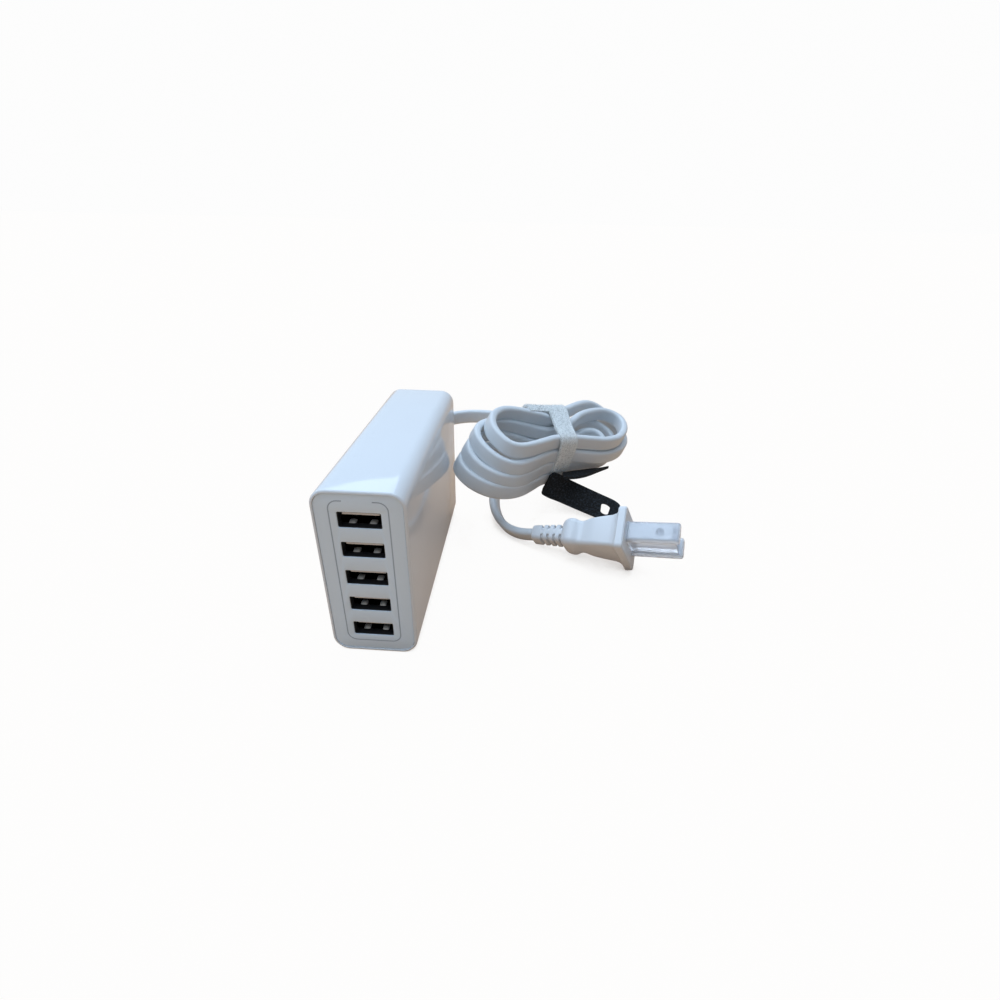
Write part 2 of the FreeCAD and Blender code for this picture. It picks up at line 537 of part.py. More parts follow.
# slots from both narrow sides of the relief leave a core and a spine along each wide side
slots = plug.newObject("Sketcher::SketchObject", "rib_slots")
slots.AttachmentSupport = (plane(plug, "YZ_Plane"), [""])
slots.MapMode = "FlatFace"
bind(slots, AttachmentOffset__Base__z="sizes.rib_first")
con = Sketcher.Constraint
for sign, side in ((-1, "a"), (1, "b")):
    g = len(slots.Geometry)
    shape = [(1, 3), (1, 9), (9, 9), (9, -9), (1, -9), (1, -3), (3, -3), (3, 3)]
    pts = [V(b, sign * a, 0) for a, b in shape]
    slots.addGeometry([Part.LineSegment(pts[i], pts[(i + 1) % 8]) for i in range(8)], False)
    slots.addConstraint([con("Coincident", g + i, 2, g + (i + 1) % 8, 1) for i in range(8)])
    slots.addConstraint([con("Horizontal", g + i) for i in (0, 2, 4, 6)])
    slots.addConstraint([con("Vertical", g + i) for i in (1, 3, 5, 7)])
    for label, rule, at, text in (
            ("spine", "DistanceY", g, "%d * sizes.rib_spine / 2" % sign),
            ("foot", "DistanceY", g + 4, "%d * sizes.rib_spine / 2" % sign),
            ("outside", "DistanceY", g + 2, "%d * sizes.collar_high" % sign),
            ("core", "DistanceY", g + 6, "%d * sizes.rib_core_high / 2" % sign),
            ("right", "DistanceX", g, "sizes.rib_core_wide / 2"),
            ("left", "DistanceX", g + 5, "-sizes.rib_core_wide / 2"),
            ("right_end", "DistanceX", g + 1, "sizes.collar_wide"),
            ("left_end", "DistanceX", g + 3, "-sizes.collar_wide")):
        start = slots.Geometry[at].StartPoint
        index = slots.addConstraint(con(rule, -1, 1, at, 1, start.x if rule == "DistanceX" else start.y))
        slots.renameConstraint(index, label + side)
        bind(slots, **{"Constraints__" + label + side: text})
rib = extrude(plug, "Pocket", "rib_slot", slots, "sizes.rib_gap", True)
ribs = plug.newObject("PartDesign::LinearPattern", "rib_row")
ribs.Originals = [rib]
ribs.Direction = (plane(plug, "X_Axis"), [""])
ribs.Occurrences = 4
bind(ribs, Length="3 * sizes.rib_pitch")
plug.Tip = ribs
plug.Placement = PLUG
node(plug, "plug_body")

# Two flat blades with a hole near the tip, standing on the face of the flange.
for name, sign in (("a", "-"), ("b", "+")):
    blade = new_body("blade_" + name)
    bar = rounded(blade, "blade_outline_" + name, "YZ_Plane", "sizes.blade_thick", "sizes.blade_wide",
                  "sizes.blade_thick / 4", across="%s sizes.blade_apart / 2" % sign, out=FLANGE_FACE)
    strip = extrude(blade, "Pad", "blade_strip_" + name, bar, "sizes.blade_length")
    eye = rounded(blade, "blade_eye_" + name, "XZ_Plane", "sizes.blade_hole", "sizes.blade_hole",
                  "sizes.blade_hole / 2 - sizes.base_gap",
                  across="%s + sizes.blade_length - sizes.blade_hole_inset" % FLANGE_FACE,
                  out="sizes.blade_apart")
    extrude(blade, "Pocket", "blade_eye_cut_" + name, eye, "2 * sizes.blade_apart")
    blade.Placement = PLUG
    node(blade, "plug_blade_" + name)

# Clear cover: two closed sleeves over the blades, joined by a web and pushed against the flange.
cover = new_body("cover")
inner = {"wide": "sizes.blade_thick + 2 * sizes.cover_fit", "high": "sizes.blade_wide + 2 * sizes.cover_fit"}
for name, sign in (("a", "-"), ("b", "+")):
    case = rounded(cover, "sleeve_skin_" + name, "YZ_Plane",
                   "%s + 2 * sizes.cover_side" % inner["wide"], "%s + 2 * sizes.cover_wall" % inner["high"],
                   "sizes.cover_round", across="%s sizes.blade_apart / 2" % sign, out=FLANGE_FACE)
    extrude(cover, "Pad", "cover_sleeve_" + name, case, "sizes.cover_length")
    if name == "a":
        bridge = rounded(cover, "web_outline", "YZ_Plane", "sizes.blade_apart", "sizes.web_thick",
                         "sizes.web_thick / 4", out=FLANGE_FACE)
        extrude(cover, "Pad", "web", bridge, "sizes.cover_length - sizes.web_short")
for name, sign in (("a", "-"), ("b", "+")):
    hole = rounded(cover, "sleeve_hole_" + name + "_outline", "YZ_Plane", inner["wide"], inner["high"],
                   "sizes.blade_thick / 4", across="%s sizes.blade_apart / 2" % sign, out=FLANGE_FACE)
    extrude(cover, "Pocket", "cover_hole_" + name, hole, "sizes.cover_length - sizes.cover_wall", True)
cover.Placement = PLUG
node(cover, "blade_cover")


# The cord. Its routes are straight runs joined by tangent arcs as large as the runs allow.
def route(points, closed=False):
    """A wire through the points, and the radii of its arcs."""
    pts = [V(*p) for p in points]
    count = len(pts)
    turns, radii = {}, []
    inside = range(count) if closed else range(1, count - 1)
    for i in inside:
        to, fro = pts[(i + 1) % count] - pts[i], pts[i - 1] - pts[i]
        half = (math.pi - to.getAngle(fro)) / 2
        reach = 0.45 * min(to.Length, fro.Length)
        radius = reach / math.tan(half)
        to.normalize()
        fro.normalize()
        middle = (to + fro).normalize()
        depth = radius * (1 / math.cos(half) - 1)
        turns[i] = (pts[i] + fro * reach, pts[i] + middle * depth, pts[i] + to * reach)
        radii.append(radius)
    edges = []
    last = turns[count - 1][2] if closed else pts[0]
    for i in range(count):
        if i in turns:
            edges.append(Part.LineSegment(last, turns[i][0]).toShape())
            edges.append(Part.Arc(*turns[i]).toShape())
            last = turns[i][2]
        elif i:
            edges.append(Part.LineSegment(last, pts[i]).toShape())
    return Part.Wire(edges), radii


# Hank: four turns of the flat cord on their edges. Each turn is a loop with two lobes and a
# narrow waist; the lower ones are pushed out to the left. The hank leans on its waist.
HANK = FreeCAD.Placement(V(54.0, 60.1, 15.1), FreeCAD.Rotation(38.0, 9.1, 16.5))
TURN_ENDS = ((-46.6, 34.6), (-43.6, 40.0), (-40.2, 44.0), (-36.6, 45.0))
turns = []
for level, (left, right) in enumerate(TURN_ENDS):
    w, b, f = size("waist_half"), size("lobe_back"), size("lobe_front")
    fb, ff = size("far_back"), size("far_front")
    plan = ((0.62 * left, b), (0.34 * left, 0.82 * b), (-8.0, w), (12.0, w), (0.55 * right, 0.86 * fb),
            (0.84 * right, fb), (1.02 * right, 0.3 * fb), (0.9 * right, -0.62 * ff), (0.6 * right, -ff),
            (11.0, -w), (-9.0, -w), (0.58 * left, -f), (0.86 * left, -f), (1.02 * left, 0.0),
            (0.9 * left, 0.74 * b))
    line, _ = route([(x, y, 0.0) for x, y in plan], True)
    half = size("cord_thick") / 2
    ring = Part.Face([line.makeOffset2D(half), line.makeOffset2D(-half)])
    ring.validate()
    flat = ring.extrude(V(0, 0, size("cord_wide")))
    flat.translate(V(0, 0, level * size("cord_wide")))
    turns.append(flat)
hank = doc.addObject("Part::Feature", "hank")
hank.Shape = turns[0].multiFuse(turns[1:]).removeSplitter()
hank.Placement = HANK
node(hank, "cord_hank")

# Lead from the connector to the back of the hank, and the tail from under the hank to the plug.
PLUG_END = PLUG.Base
PLUG_BACK = PLUG.multVec(V(-6.0, 0.0, 0.0))
ROUTES = {
    "cord_lead": ((0.0, 73.0, 29.0), (0.0, 81.6, 29.0), (4.4, 89.1, 29.1), (12.0, 93.5, 29.3),
                  (20.8, 93.4, 29.8), (29.5, 88.6, 31.1), (36.3, 80.9, 33.0), (41.6, 71.9, 35.0),
                  (46.4, 62.6, 36.8), (47.9, 58.9, 37.4)),
    "cord_tail": ((44.6, 62.0, 18.8), (38.0, 60.9, 13.2), (32.9, 56.4, 8.2), (31.4, 49.4, 5.6),
                  (32.0, 42.2, 4.5), (33.8, 35.4, 4.0), (36.5, 29.0, 3.8), (40.0, 24.2, 3.8),
                  tuple(PLUG_BACK), tuple(PLUG_END)),
}
for label, points in ROUTES.items():
    line, radii = route(points)
    path = doc.addObject("Part::Feature", label + "_route")
    path.Shape = line
    mouth = doc.addObject("Part::Circle", label + "_section")
    mouth.Placement = FreeCAD.Placement(V(*points[0]), FreeCAD.Rotation(
        V(0, 0, 1), V(*points[1]) - V(*points[0])))
    bind(mouth, Radius="sizes.cord_tube / 2")
    tube = doc.addObject("Part::Sweep", label + "_tube")
    tube.Sections = [mouth]
    tube.Spine = (path, ["Edge%d" % (i + 1) for i in range(len(line.Edges))])
    tube.Solid = True
    tube.Frenet = False
    doc.recompute()
    print(label, "radii", [round(r, 1) for r in radii], "length", round(line.Length, 1), "volume",
          round(tube.Shape.Volume, 1), "of", round(line.Length * math.pi * size("cord_tube") ** 2 / 4, 1))
    node(cut(label + "_trim", tube, hank), label)

# Strap: a loop round the waist of the hank, with one end laid back under the far lobe and
# the other, with a slot in it, hanging down towards the plug.
band = new_body("strap_loop")
STACK = "(4 * sizes.cord_wide)"
GIRTH = "(2 * sizes.waist_half + sizes.cord_thick + 2 * sizes.strap_gap)"
START = "(sizes.strap_shift - sizes.strap_wide / 2)"
loop = rounded(band, "strap_outline", "YZ_Plane", "%s + 2 * sizes.strap_thick" % GIRTH,
               "%s + 2 * sizes.strap_gap + 2 * sizes.strap_thick" % STACK, "sizes.strap_round",
               up="%s / 2" % STACK, out=START)
extrude(band, "Pad", "strap_band", loop, "sizes.strap_wide")
room = rounded(band, "strap_room_outline", "YZ_Plane", GIRTH, "%s + 2 * sizes.strap_gap" % STACK,
               "sizes.strap_round - sizes.strap_thick", up="%s / 2" % STACK, out=START)
extrude(band, "Pocket", "strap_room", room, "sizes.strap_wide", True)
laid = rounded(band, "strap_end_outline", "XY_Plane", "sizes.end_length", "sizes.strap_wide",
               "sizes.strap_wide / 4", across="%s + sizes.end_length / 2" % START,
               out="-sizes.strap_gap - sizes.strap_thick")
extrude(band, "Pad", "strap_end", laid, "sizes.strap_thick")
band.Placement = HANK
tail = new_body("strap_tail")
strip = rounded(tail, "strap_tail_outline", "XY_Plane", "sizes.tail_length", "sizes.strap_wide",
                "sizes.strap_wide / 4", across="sizes.tail_length / 2")
extrude(tail, "Pad", "strap_tail_strip", strip, "sizes.strap_thick")
eye = rounded(tail, "strap_slot_outline", "XY_Plane", "sizes.slot_wide", "sizes.slot_long",
              "sizes.slot_wide / 2 - sizes.base_gap", across="sizes.tail_length - sizes.slot_inset")
extrude(tail, "Pocket", "strap_slot", eye, "sizes.strap_thick", True)
tail.Placement = FreeCAD.Placement(V(55.5, 58.5, 8.3), FreeCAD.Rotation(-29.5, 7.5, 40.0))
node(join("strap_whole", [band, tail]), "strap")

doc.recompute()
for thing in doc.Objects:
    if "Invalid" in thing.State or "Error" in thing.State:
        raise RuntimeError("%s: %s" % (thing.Name, thing.State))
for thing in nodes:
    if thing.Shape.isNull() or not thing.Shape.isValid():
        raise RuntimeError("%s has no valid shape" % thing.Label)
os.makedirs("parts", exist_ok=True)
for thing in nodes:
    thing.Shape.exportStep("parts/%s.step" % thing.Label)
    print(thing.Label, len(thing.Shape.Solids), round(thing.Shape.Volume, 1))
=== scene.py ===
import math

import bmesh
import bpy
from mathutils import Euler, Matrix, Vector


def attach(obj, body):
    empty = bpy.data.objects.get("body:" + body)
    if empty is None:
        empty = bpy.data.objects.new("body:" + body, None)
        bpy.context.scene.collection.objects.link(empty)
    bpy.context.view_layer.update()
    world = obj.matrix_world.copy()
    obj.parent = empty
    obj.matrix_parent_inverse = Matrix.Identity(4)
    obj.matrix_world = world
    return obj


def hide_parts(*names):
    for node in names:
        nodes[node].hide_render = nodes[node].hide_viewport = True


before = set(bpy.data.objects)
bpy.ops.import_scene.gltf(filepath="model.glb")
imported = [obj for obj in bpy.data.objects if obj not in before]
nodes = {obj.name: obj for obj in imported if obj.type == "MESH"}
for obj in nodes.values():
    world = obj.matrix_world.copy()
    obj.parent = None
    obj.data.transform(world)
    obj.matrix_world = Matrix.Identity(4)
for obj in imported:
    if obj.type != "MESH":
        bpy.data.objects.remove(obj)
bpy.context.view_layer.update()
scene = bpy.context.scene
scene.view_settings.view_transform = "Standard"
MM = 0.001


# Studio: a wide pale surface under one large soft window light from above, with the camera
# close and a little above. The surface gives warm light back to the sides of the charger. Its
# white, and the backdrop's, is only seen or mirrored. In gaps and close under the pieces an occlusion
# mask fades that white, so the surface's own lit shade shows there: the mask is painted contact shade, and
# the shading it lets through is real.
def linked(name, data):
    thing = bpy.data.objects.new(name, data)
    scene.collection.objects.link(thing)
    return thing


def mesh_piece(name, vertices, faces):
    mesh = bpy.data.meshes.new(name)
    mesh.from_pydata([tuple(v) for v in vertices], [], faces)
    mesh.update()
    return linked(name, mesh)


def add(tree, kind, settings, sockets):
    """One node with its settings; each socket takes a value or a link."""
    made = tree.nodes.new(kind)
    for name, value in settings.items():
        setattr(made, name, value)
    for name, value in sockets.items():
        if isinstance(value, bpy.types.NodeSocket):
            tree.links.new(value, made.inputs[name])
        else:
            made.inputs[name].default_value = value
    return made


def reckon(tree, operation, *values):
    """The result of one Math node."""
    return add(tree, "ShaderNodeMath", {"operation": operation}, dict(enumerate(values))).outputs[0]


def mapped(tree, value, given, wanted=(0.0, 1.0)):
    """A value taken from the given range to the wanted one, and held inside it."""
    return add(tree, "ShaderNodeMapRange", {}, {
        "Value": value, "From Min": given[0], "From Max": given[1],
        "To Min": wanted[0], "To Max": wanted[1]}).outputs[0]


def seen_directly(tree, direct, mirrored):
    """The share of white in what the camera sees, also through clear plastic, and in a gloss."""
    rays = add(tree, "ShaderNodeLightPath", {}, {}).outputs
    through = reckon(tree, "MAXIMUM", rays["Is Camera Ray"], rays["Is Transmission Ray"])
    return reckon(tree, "MAXIMUM", reckon(tree, "MULTIPLY", through, direct),
                  reckon(tree, "MULTIPLY", rays["Is Glossy Ray"], mirrored))


turn, tilt, roll = (math.radians(a) for a in (2.84, 29.24, 1.30))
camera_place = Vector((44.5, -163.3, 123.6)) * MM
away = Vector((math.sin(turn) * math.cos(tilt), -math.cos(turn) * math.cos(tilt), math.sin(tilt)))
level = Vector((math.cos(turn), math.sin(turn), 0.0))
side = math.cos(roll) * level + math.sin(roll) * away.cross(level)
lens = bpy.data.cameras.new("camera")
lens.sensor_width = 36.0
lens.lens = 18.49
lens.clip_start = 0.01
camera = linked("camera", lens)
camera_axes = Matrix((side, away.cross(side), away)).transposed()
camera.matrix_world = Matrix.Translation(camera_place) @ camera_axes.to_4x4()
scene.camera = camera

floor_half = 8.0
floor = mesh_piece("floor", [(-floor_half, -floor_half, 0), (floor_half, -floor_half, 0),
                             (floor_half, floor_half, 0), (-floor_half, floor_half, 0)], [(0, 1, 2, 3)])
floor_paint = bpy.data.materials.new("pale_surface")
floor_paint.use_nodes = True
floor_tree = floor_paint.node_tree
floor_skin = floor_tree.nodes["Principled BSDF"]
floor_skin.inputs["Base Color"].default_value = (0.68, 0.43, 0.26, 1.0)
floor_skin.inputs["Roughness"].default_value = 0.9
floor_skin.inputs["Specular IOR Level"].default_value = 0.1
floor_white = add(floor_tree, "ShaderNodeEmission", {}, {"Color": (1.0, 1.0, 1.0, 1.0), "Strength": 1.0})
# painted contact shade: an occlusion mask fades the white glow in gaps and close under the pieces, letting
# the floor's real lit shade show
shade_occlusion = add(floor_tree, "ShaderNodeAmbientOcclusion", {"samples": 8}, {"Distance": 25.0 * MM})
painted_shade_mask = mapped(floor_tree, shade_occlusion.outputs["AO"], (0.1, 0.4))
floor_share = reckon(floor_tree, "MULTIPLY", painted_shade_mask, seen_directly(floor_tree, 0.97, 0.12))
floor_look = add(floor_tree, "ShaderNodeMixShader", {}, {
    "Fac": floor_share, 1: floor_skin.outputs[0], 2: floor_white.outputs[0]})
floor_tree.links.new(floor_look.outputs[0], floor_tree.nodes["Material Output"].inputs["Surface"])
floor.data.materials.append(floor_paint)

window = bpy.data.lights.new("window", "SUN")
window.energy = 2.6
window.angle = math.radians(80.0)
window.color = (0.66, 0.81, 1.0)
linked("window", window).rotation_euler = Euler((math.radians(-16.0), math.radians(-10.0), 0.0))

world = bpy.data.worlds.new("studio")
world.use_nodes = True
scene.world = world
sky = world.node_tree
room = sky.nodes["Background"]
sky_way = add(sky, "ShaderNodeTexCoord", {}, {})
sky_parts = add(sky, "ShaderNodeSeparateXYZ", {}, {0: sky_way.outputs["Generated"]})
sky_height = mapped(sky, sky_parts.outputs["Z"], (0.0, 0.9))
sky_tone = add(sky, "ShaderNodeMix", {"data_type": "RGBA"}, {
    "Factor": sky_height, 6: (0.20, 0.24, 0.285, 1.0), 7: (0.32, 0.39, 0.47, 1.0)})
sky_side = mapped(sky, sky_parts.outputs["X"], (-1.0, 1.0), (1.55, 0.45))
sky.links.new(sky_side, room.inputs["Strength"])
sky.links.new(sky_tone.outputs[2], room.inputs["Color"])
backdrop = add(sky, "ShaderNodeBackground", {}, {"Color": (1.0, 1.0, 1.0, 1.0), "Strength": 0.98})
sky_look = add(sky, "ShaderNodeMixShader", {}, {
    "Fac": seen_directly(sky, 1.0, 0.6), 1: room.outputs[0], 2: backdrop.outputs[0]})
sky.links.new(sky_look.outputs[0], sky.nodes["World Output"].inputs["Surface"])


# Casing: one tub of glossy white plastic, moulded with soft corners. Its front edge is a thin
# lip round the seat of the panel, and its rear wall has the hole for the mains inlet.
def ring(half_wide, half_high, corner, steps=8):
    """An outline with four round corners, from the right side upwards."""
    points = []
    for quarter, (a, b) in enumerate(((1, 1), (-1, 1), (-1, -1), (1, -1))):
        for step in range(steps + 1):
            angle = math.radians(90 * (quarter + step / steps))
            points.append((a * (half_wide - corner) + corner * math.cos(angle),
                           b * (half_high - corner) + corner * math.sin(angle)))
    return points


def smooth(piece, angle):
    """Joins doubled corners, turns the faces outwards and keeps edges above the angle sharp."""
    build = bmesh.new()
    build.from_mesh(piece.data)
    bmesh.ops.remove_doubles(build, verts=build.verts, dist=1e-7)
    bmesh.ops.recalc_face_normals(build, faces=build.faces)
    build.to_mesh(piece.data)
    build.free()
    piece.data.polygons.foreach_set("use_smooth", [True] * len(piece.data.polygons))
    piece.data.set_sharp_from_angle(angle=math.radians(angle))


def lofted(name, rings, closed=False):
    """A skin over rings of points, capped at both ends or joined into a tube wall."""
    count = len(rings[0])
    faces = []
    for i in range(len(rings) if closed else len(rings) - 1):
        here, there = i * count, (i + 1) % len(rings) * count
        for k in range(count):
            nxt = (k + 1) % count
            faces.append((here + k, here + nxt, there + nxt, there + k))
    if not closed:
        faces.append(tuple(reversed(range(count))))
        faces.append(tuple(range((len(rings) - 1) * count, len(rings) * count)))
    piece = mesh_piece(name, [p for points in rings for p in points], faces)
    smooth(piece, 32.0)
    return piece


def group(name, kind, inputs, outputs):
    """A node group with named sockets, and what it is given."""
    tree = bpy.data.node_groups.new(name, kind)
    for way, wanted in (("INPUT", inputs), ("OUTPUT", outputs)):
        for socket, sort in wanted:
            tree.interface.new_socket(socket, in_out=way, socket_type="NodeSocket" + sort)
    return tree, add(tree, "NodeGroupInput", {}, {}).outputs


skin_group, given = group("moulded_skin", "ShaderNodeTree", (
    ("Colour", "Color"), ("Shade", "Color"), ("Mottle", "Float"), ("Roughness", "Float"), ("Spread", "Float"),
    ("Grain", "Float"), ("Dust", "Float"), ("Speckle", "Float")), (
    ("Colour", "Color"), ("Roughness", "Float"), ("Height", "Float")))
place = add(skin_group, "ShaderNodeTexCoord", {}, {}).outputs["Object"]
cloud = add(skin_group, "ShaderNodeTexNoise", {}, {"Vector": place, "Scale": 70.0, "Detail": 3.0})
pores = add(skin_group, "ShaderNodeTexNoise", {}, {"Vector": place, "Scale": given["Grain"], "Detail": 3.0})
motes = add(skin_group, "ShaderNodeTexVoronoi", {}, {"Vector": place, "Scale": 210.0})
mote = mapped(skin_group, motes.outputs["Distance"], (0.05, 0.11), (1.0, 0.0))
dust = reckon(skin_group, "MULTIPLY", mote, given["Dust"])
stain = reckon(skin_group, "MULTIPLY_ADD", cloud.outputs["Fac"], given["Mottle"], dust)
off_middle = reckon(skin_group, "SUBTRACT", pores.outputs["Fac"], 0.5)
speckled = reckon(skin_group, "MULTIPLY_ADD", off_middle, given["Speckle"], stain)
tone = add(skin_group, "ShaderNodeMix", {"data_type": "RGBA", "clamp_factor": True}, {
    "Factor": speckled, 6: given["Colour"], 7: given["Shade"]})
gloss = reckon(skin_group, "MULTIPLY_ADD", off_middle, given["Spread"], given["Roughness"])
add(skin_group, "NodeGroupOutput", {}, {
    "Colour": tone.outputs[2], "Roughness": gloss, "Height": pores.outputs["Fac"]})


def finish(name, colour, shade, roughness, grain, mottle=0.3, spread=0.1, dust=0.0, bump=0.05, speckle=0.0,
           **fixed):
    """A material on the moulded skin; fixed are values of the shader's own sockets."""
    made = bpy.data.materials.new(name)
    made.use_nodes = True
    tree = made.node_tree
    shader = tree.nodes["Principled BSDF"]
    skin = add(tree, "ShaderNodeGroup", {"node_tree": skin_group}, {
        "Colour": (*colour, 1.0), "Shade": (*shade, 1.0), "Mottle": mottle, "Roughness": roughness,
        "Spread": spread, "Grain": grain, "Dust": dust, "Speckle": speckle})
    relief = add(tree, "ShaderNodeBump", {}, {
        "Height": skin.outputs["Height"], "Strength": bump, "Distance": 0.2 * MM})
    tree.links.new(skin.outputs["Colour"], shader.inputs["Base Color"])
    tree.links.new(skin.outputs["Roughness"], shader.inputs["Roughness"])
    tree.links.new(relief.outputs[0], shader.inputs["Normal"])
    for socket, value in fixed.items():
        shader.inputs[socket.replace("_", " ")].default_value = value
    return made


def dress(piece, made, slot=None, *replaced):
    """Gives a piece its material; with a slot named, puts it under the root body, and hides the nodes that it
    replaces.
    """
    piece.data.materials.clear()
    piece.data.materials.append(made)
    if slot:
        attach(piece, "root")
    if replaced:
        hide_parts(*replaced)


body_half, body_half_high, body_corner, front, rear = 13.5, 29.0, 5.0, -45.5, 45.5
rim, lip, wall, rear_wall, seat_deep = 0.8, 0.9, 1.6, 2.0, 2.25
inlet_half, inlet_half_high, inlet_corner = 5.65, 9.45, 2.4


def casing_ring(inset, y):
    return [Vector((x, y, z + body_half_high)) * MM for x, z in ring(
        body_half - inset, body_half_high - inset, body_corner - inset)]


def hole_ring(grow, y):
    return [Vector((x, y, z + body_half_high)) * MM for x, z in ring(
        inlet_half + grow, inlet_half_high + grow, inlet_corner + grow)]


bend = [(rim * (1 - math.sin(a)), rim * (1 - math.cos(a))) for a in (
    math.radians(15 * k) for k in range(7))]
casing_rings = [hole_ring(0.0, rear - rear_wall), casing_ring(wall, rear - rear_wall),
                casing_ring(wall, front + seat_deep), casing_ring(lip, front + seat_deep),
                casing_ring(lip, front + 0.12), casing_ring(lip - 0.06, front)]
casing_rings += [casing_ring(inset, front + deep) for inset, deep in bend]
casing_rings += [casing_ring(0.0, front + share * (rear - front)) for share in (0.25, 0.5, 0.75)]
casing_rings += [casing_ring(inset, rear - deep) for inset, deep in reversed(bend)]
casing_rings += [hole_ring(0.25, rear), hole_ring(0.0, rear - 0.25)]
casing = lofted("casing", casing_rings, closed=True)
dress(casing, finish("gloss_casing", (0.80, 0.83, 0.86), (0.72, 0.74, 0.76), 0.06, 520.0, mottle=0.22,
                     spread=0.03, dust=0.25, bump=0.008, Specular_IOR_Level=0.6),
      "casing_white", "housing")


# Front panel: a flat satin plate with five level slots, pushed into the seat behind the lip.
# A fine blue-grey line is printed round the column of slots, with a bare gap at its top.
panel_front, panel_thick, panel_edge = front + 0.25, 2.0, 0.14
panel_inset = lip + 0.1
port_count, port_half, port_half_high, port_pitch = 5, 6.25, 2.55, 9.9
low_port_z = -(port_count - 1) / 2 * port_pitch
plate = bpy.data.curves.new("front_plate", "CURVE")
plate.dimensions = "2D"
plate.fill_mode = "BOTH"
plate.extrude = (panel_thick / 2 - panel_edge) * MM
plate.bevel_depth = panel_edge * MM
plate.bevel_resolution = 2
plate.offset = -panel_edge * MM
outlines = [ring(body_half - panel_inset, body_half_high - panel_inset, body_corner - panel_inset)]
outlines += [[(x, z + low_port_z + k * port_pitch) for x, z in ring(port_half, port_half_high, 0.5, 4)]
             for k in range(port_count)]
for outline in outlines:
    edge = plate.splines.new("POLY")
    edge.points.add(len(outline) - 1)
    for spot, (x, z) in zip(edge.points, outline):
        spot.co = (x * MM, z * MM, 0.0, 1.0)
    edge.use_cyclic_u = True
flat = linked("front_plate_outline", plate)
panel = linked("front_plate", bpy.data.meshes.new_from_object(flat))
bpy.data.objects.remove(flat)
panel.data.transform(Matrix.Translation(
    Vector((0.0, panel_front + panel_thick / 2, body_half_high)) * MM) @ Matrix.Rotation(math.pi / 2, 4, "X"))
smooth(panel, 32.0)
dress(panel, finish("satin_panel", (0.79, 0.90, 0.99), (0.73, 0.82, 0.90), 0.30, 900.0, mottle=0.2,
                    spread=0.1, dust=0.15, bump=0.02), "panel_white", "front_panel")

line_half, line_low, line_high, line_corner, line_wide = 8.4, 4.4, 54.8, 2.8, 0.36
line_gap = (-4.3, 4.1)
line_middle, line_tall = (line_low + line_high) / 2, (line_high - line_low) / 2
line_edges = []
for grow in (-line_wide / 2, line_wide / 2):
    run = ring(line_half + grow, line_tall + grow, line_corner + grow)
    quarter = len(run) // 4
    run = list(reversed(run[quarter:] + run[:quarter]))
    line_edges.append([(line_gap[1], line_tall + grow)] + run + [(line_gap[0], line_tall + grow)])
line_count = len(line_edges[0])
printed = mesh_piece("printed_line", [Vector((x, panel_front - 0.02, z + line_middle)) * MM
                                      for run in line_edges for x, z in run],
                     [(i + 1, i, line_count + i, line_count + i + 1) for i in range(line_count - 1)])
smooth(printed, 32.0)
dress(printed, finish("line_ink", (0.34, 0.41, 0.50), (0.48, 0.55, 0.63), 0.45, 2500.0, mottle=0.8, bump=0.0),
      "panel_white")


# Five USB sockets in the panel: plated sheet shells that reach into the slots, springs, gold
# contacts and black tongues with a pale tip. Little light gets in, so the shells look black; thin black
# sleeves lining the slot walls add painted shade there.
plating = finish("socket_plating", (0.20, 0.20, 0.20), (0.14, 0.14, 0.14), 0.14, 3000.0, spread=0.1,
                 bump=0.02, Metallic=1.0)
tongue_black = finish("tongue_black", (0.012, 0.013, 0.015), (0.02, 0.02, 0.022), 0.45, 2200.0, bump=0.03)
tongue_pale = finish("tongue_pale", (0.80, 0.77, 0.74), (0.66, 0.64, 0.61), 0.45, 2200.0, bump=0.03)
contact_gold = finish("contact_gold", (0.86, 0.68, 0.36), (0.70, 0.52, 0.24), 0.18, 2600.0, bump=0.02,
                      Metallic=1.0)
for k in range(1, port_count + 1):
    dress(nodes["usb_shell_%d" % k], plating)
    dress(nodes["usb_tongue_%d" % k], tongue_black)
    dress(nodes["usb_contacts_%d" % k], contact_gold)


def painted(tree, instances, material):
    """Ends a tree: its instances are made real and given a material."""
    real = add(tree, "GeometryNodeRealizeInstances", {}, {0: instances})
    paint = add(tree, "GeometryNodeSetMaterial", {}, {"Geometry": real.outputs[0], "Material": material})
    add(tree, "NodeGroupOutput", {}, {0: paint.outputs[0]})


row_tree, asked = group("row", "GeometryNodeTree", (
    ("Count", "Int"), ("Step", "Vector"), ("Growth", "Vector"), ("Shape", "Object"),
    ("Material", "Material")), (("Geometry", "Geometry"),))
row_line = add(row_tree, "GeometryNodeMeshLine", {}, {"Count": asked["Count"], "Offset": asked["Step"]})
row_index = add(row_tree, "GeometryNodeInputIndex", {}, {})
row_more = add(row_tree, "ShaderNodeVectorMath", {"operation": "SCALE"}, {
    0: asked["Growth"], "Scale": row_index.outputs[0]})
row_size = add(row_tree, "ShaderNodeVectorMath", {"operation": "ADD"}, {
    0: row_more.outputs[0], 1: (1.0, 1.0, 1.0)})
row_pick = add(row_tree, "GeometryNodeObjectInfo", {}, {"Object": asked["Shape"]})
row_set = add(row_tree, "GeometryNodeInstanceOnPoints", {}, {
    "Points": row_line.outputs[0], "Instance": row_pick.outputs["Geometry"], "Scale": row_size.outputs[0]})
painted(row_tree, row_set.outputs[0], asked["Material"])


def settled(piece):
    """The plain mesh of a piece with its modifiers applied."""
    ready = bpy.context.evaluated_depsgraph_get()
    return bpy.data.meshes.new_from_object(
        piece.evaluated_get(ready), preserve_all_data_layers=True, depsgraph=ready)


def grown(piece, tree, values):
    """The plain mesh that a node tree makes of a piece, with the tree's inputs set."""
    maker = piece.modifiers.new("maker", "NODES")
    maker.node_group = tree
    for item in tree.interface.items_tree:
        if item.in_out == "INPUT" and item.name in values:
            maker[item.identifier] = values[item.name]
    made = settled(piece)
    piece.modifiers.remove(maker)
    return made


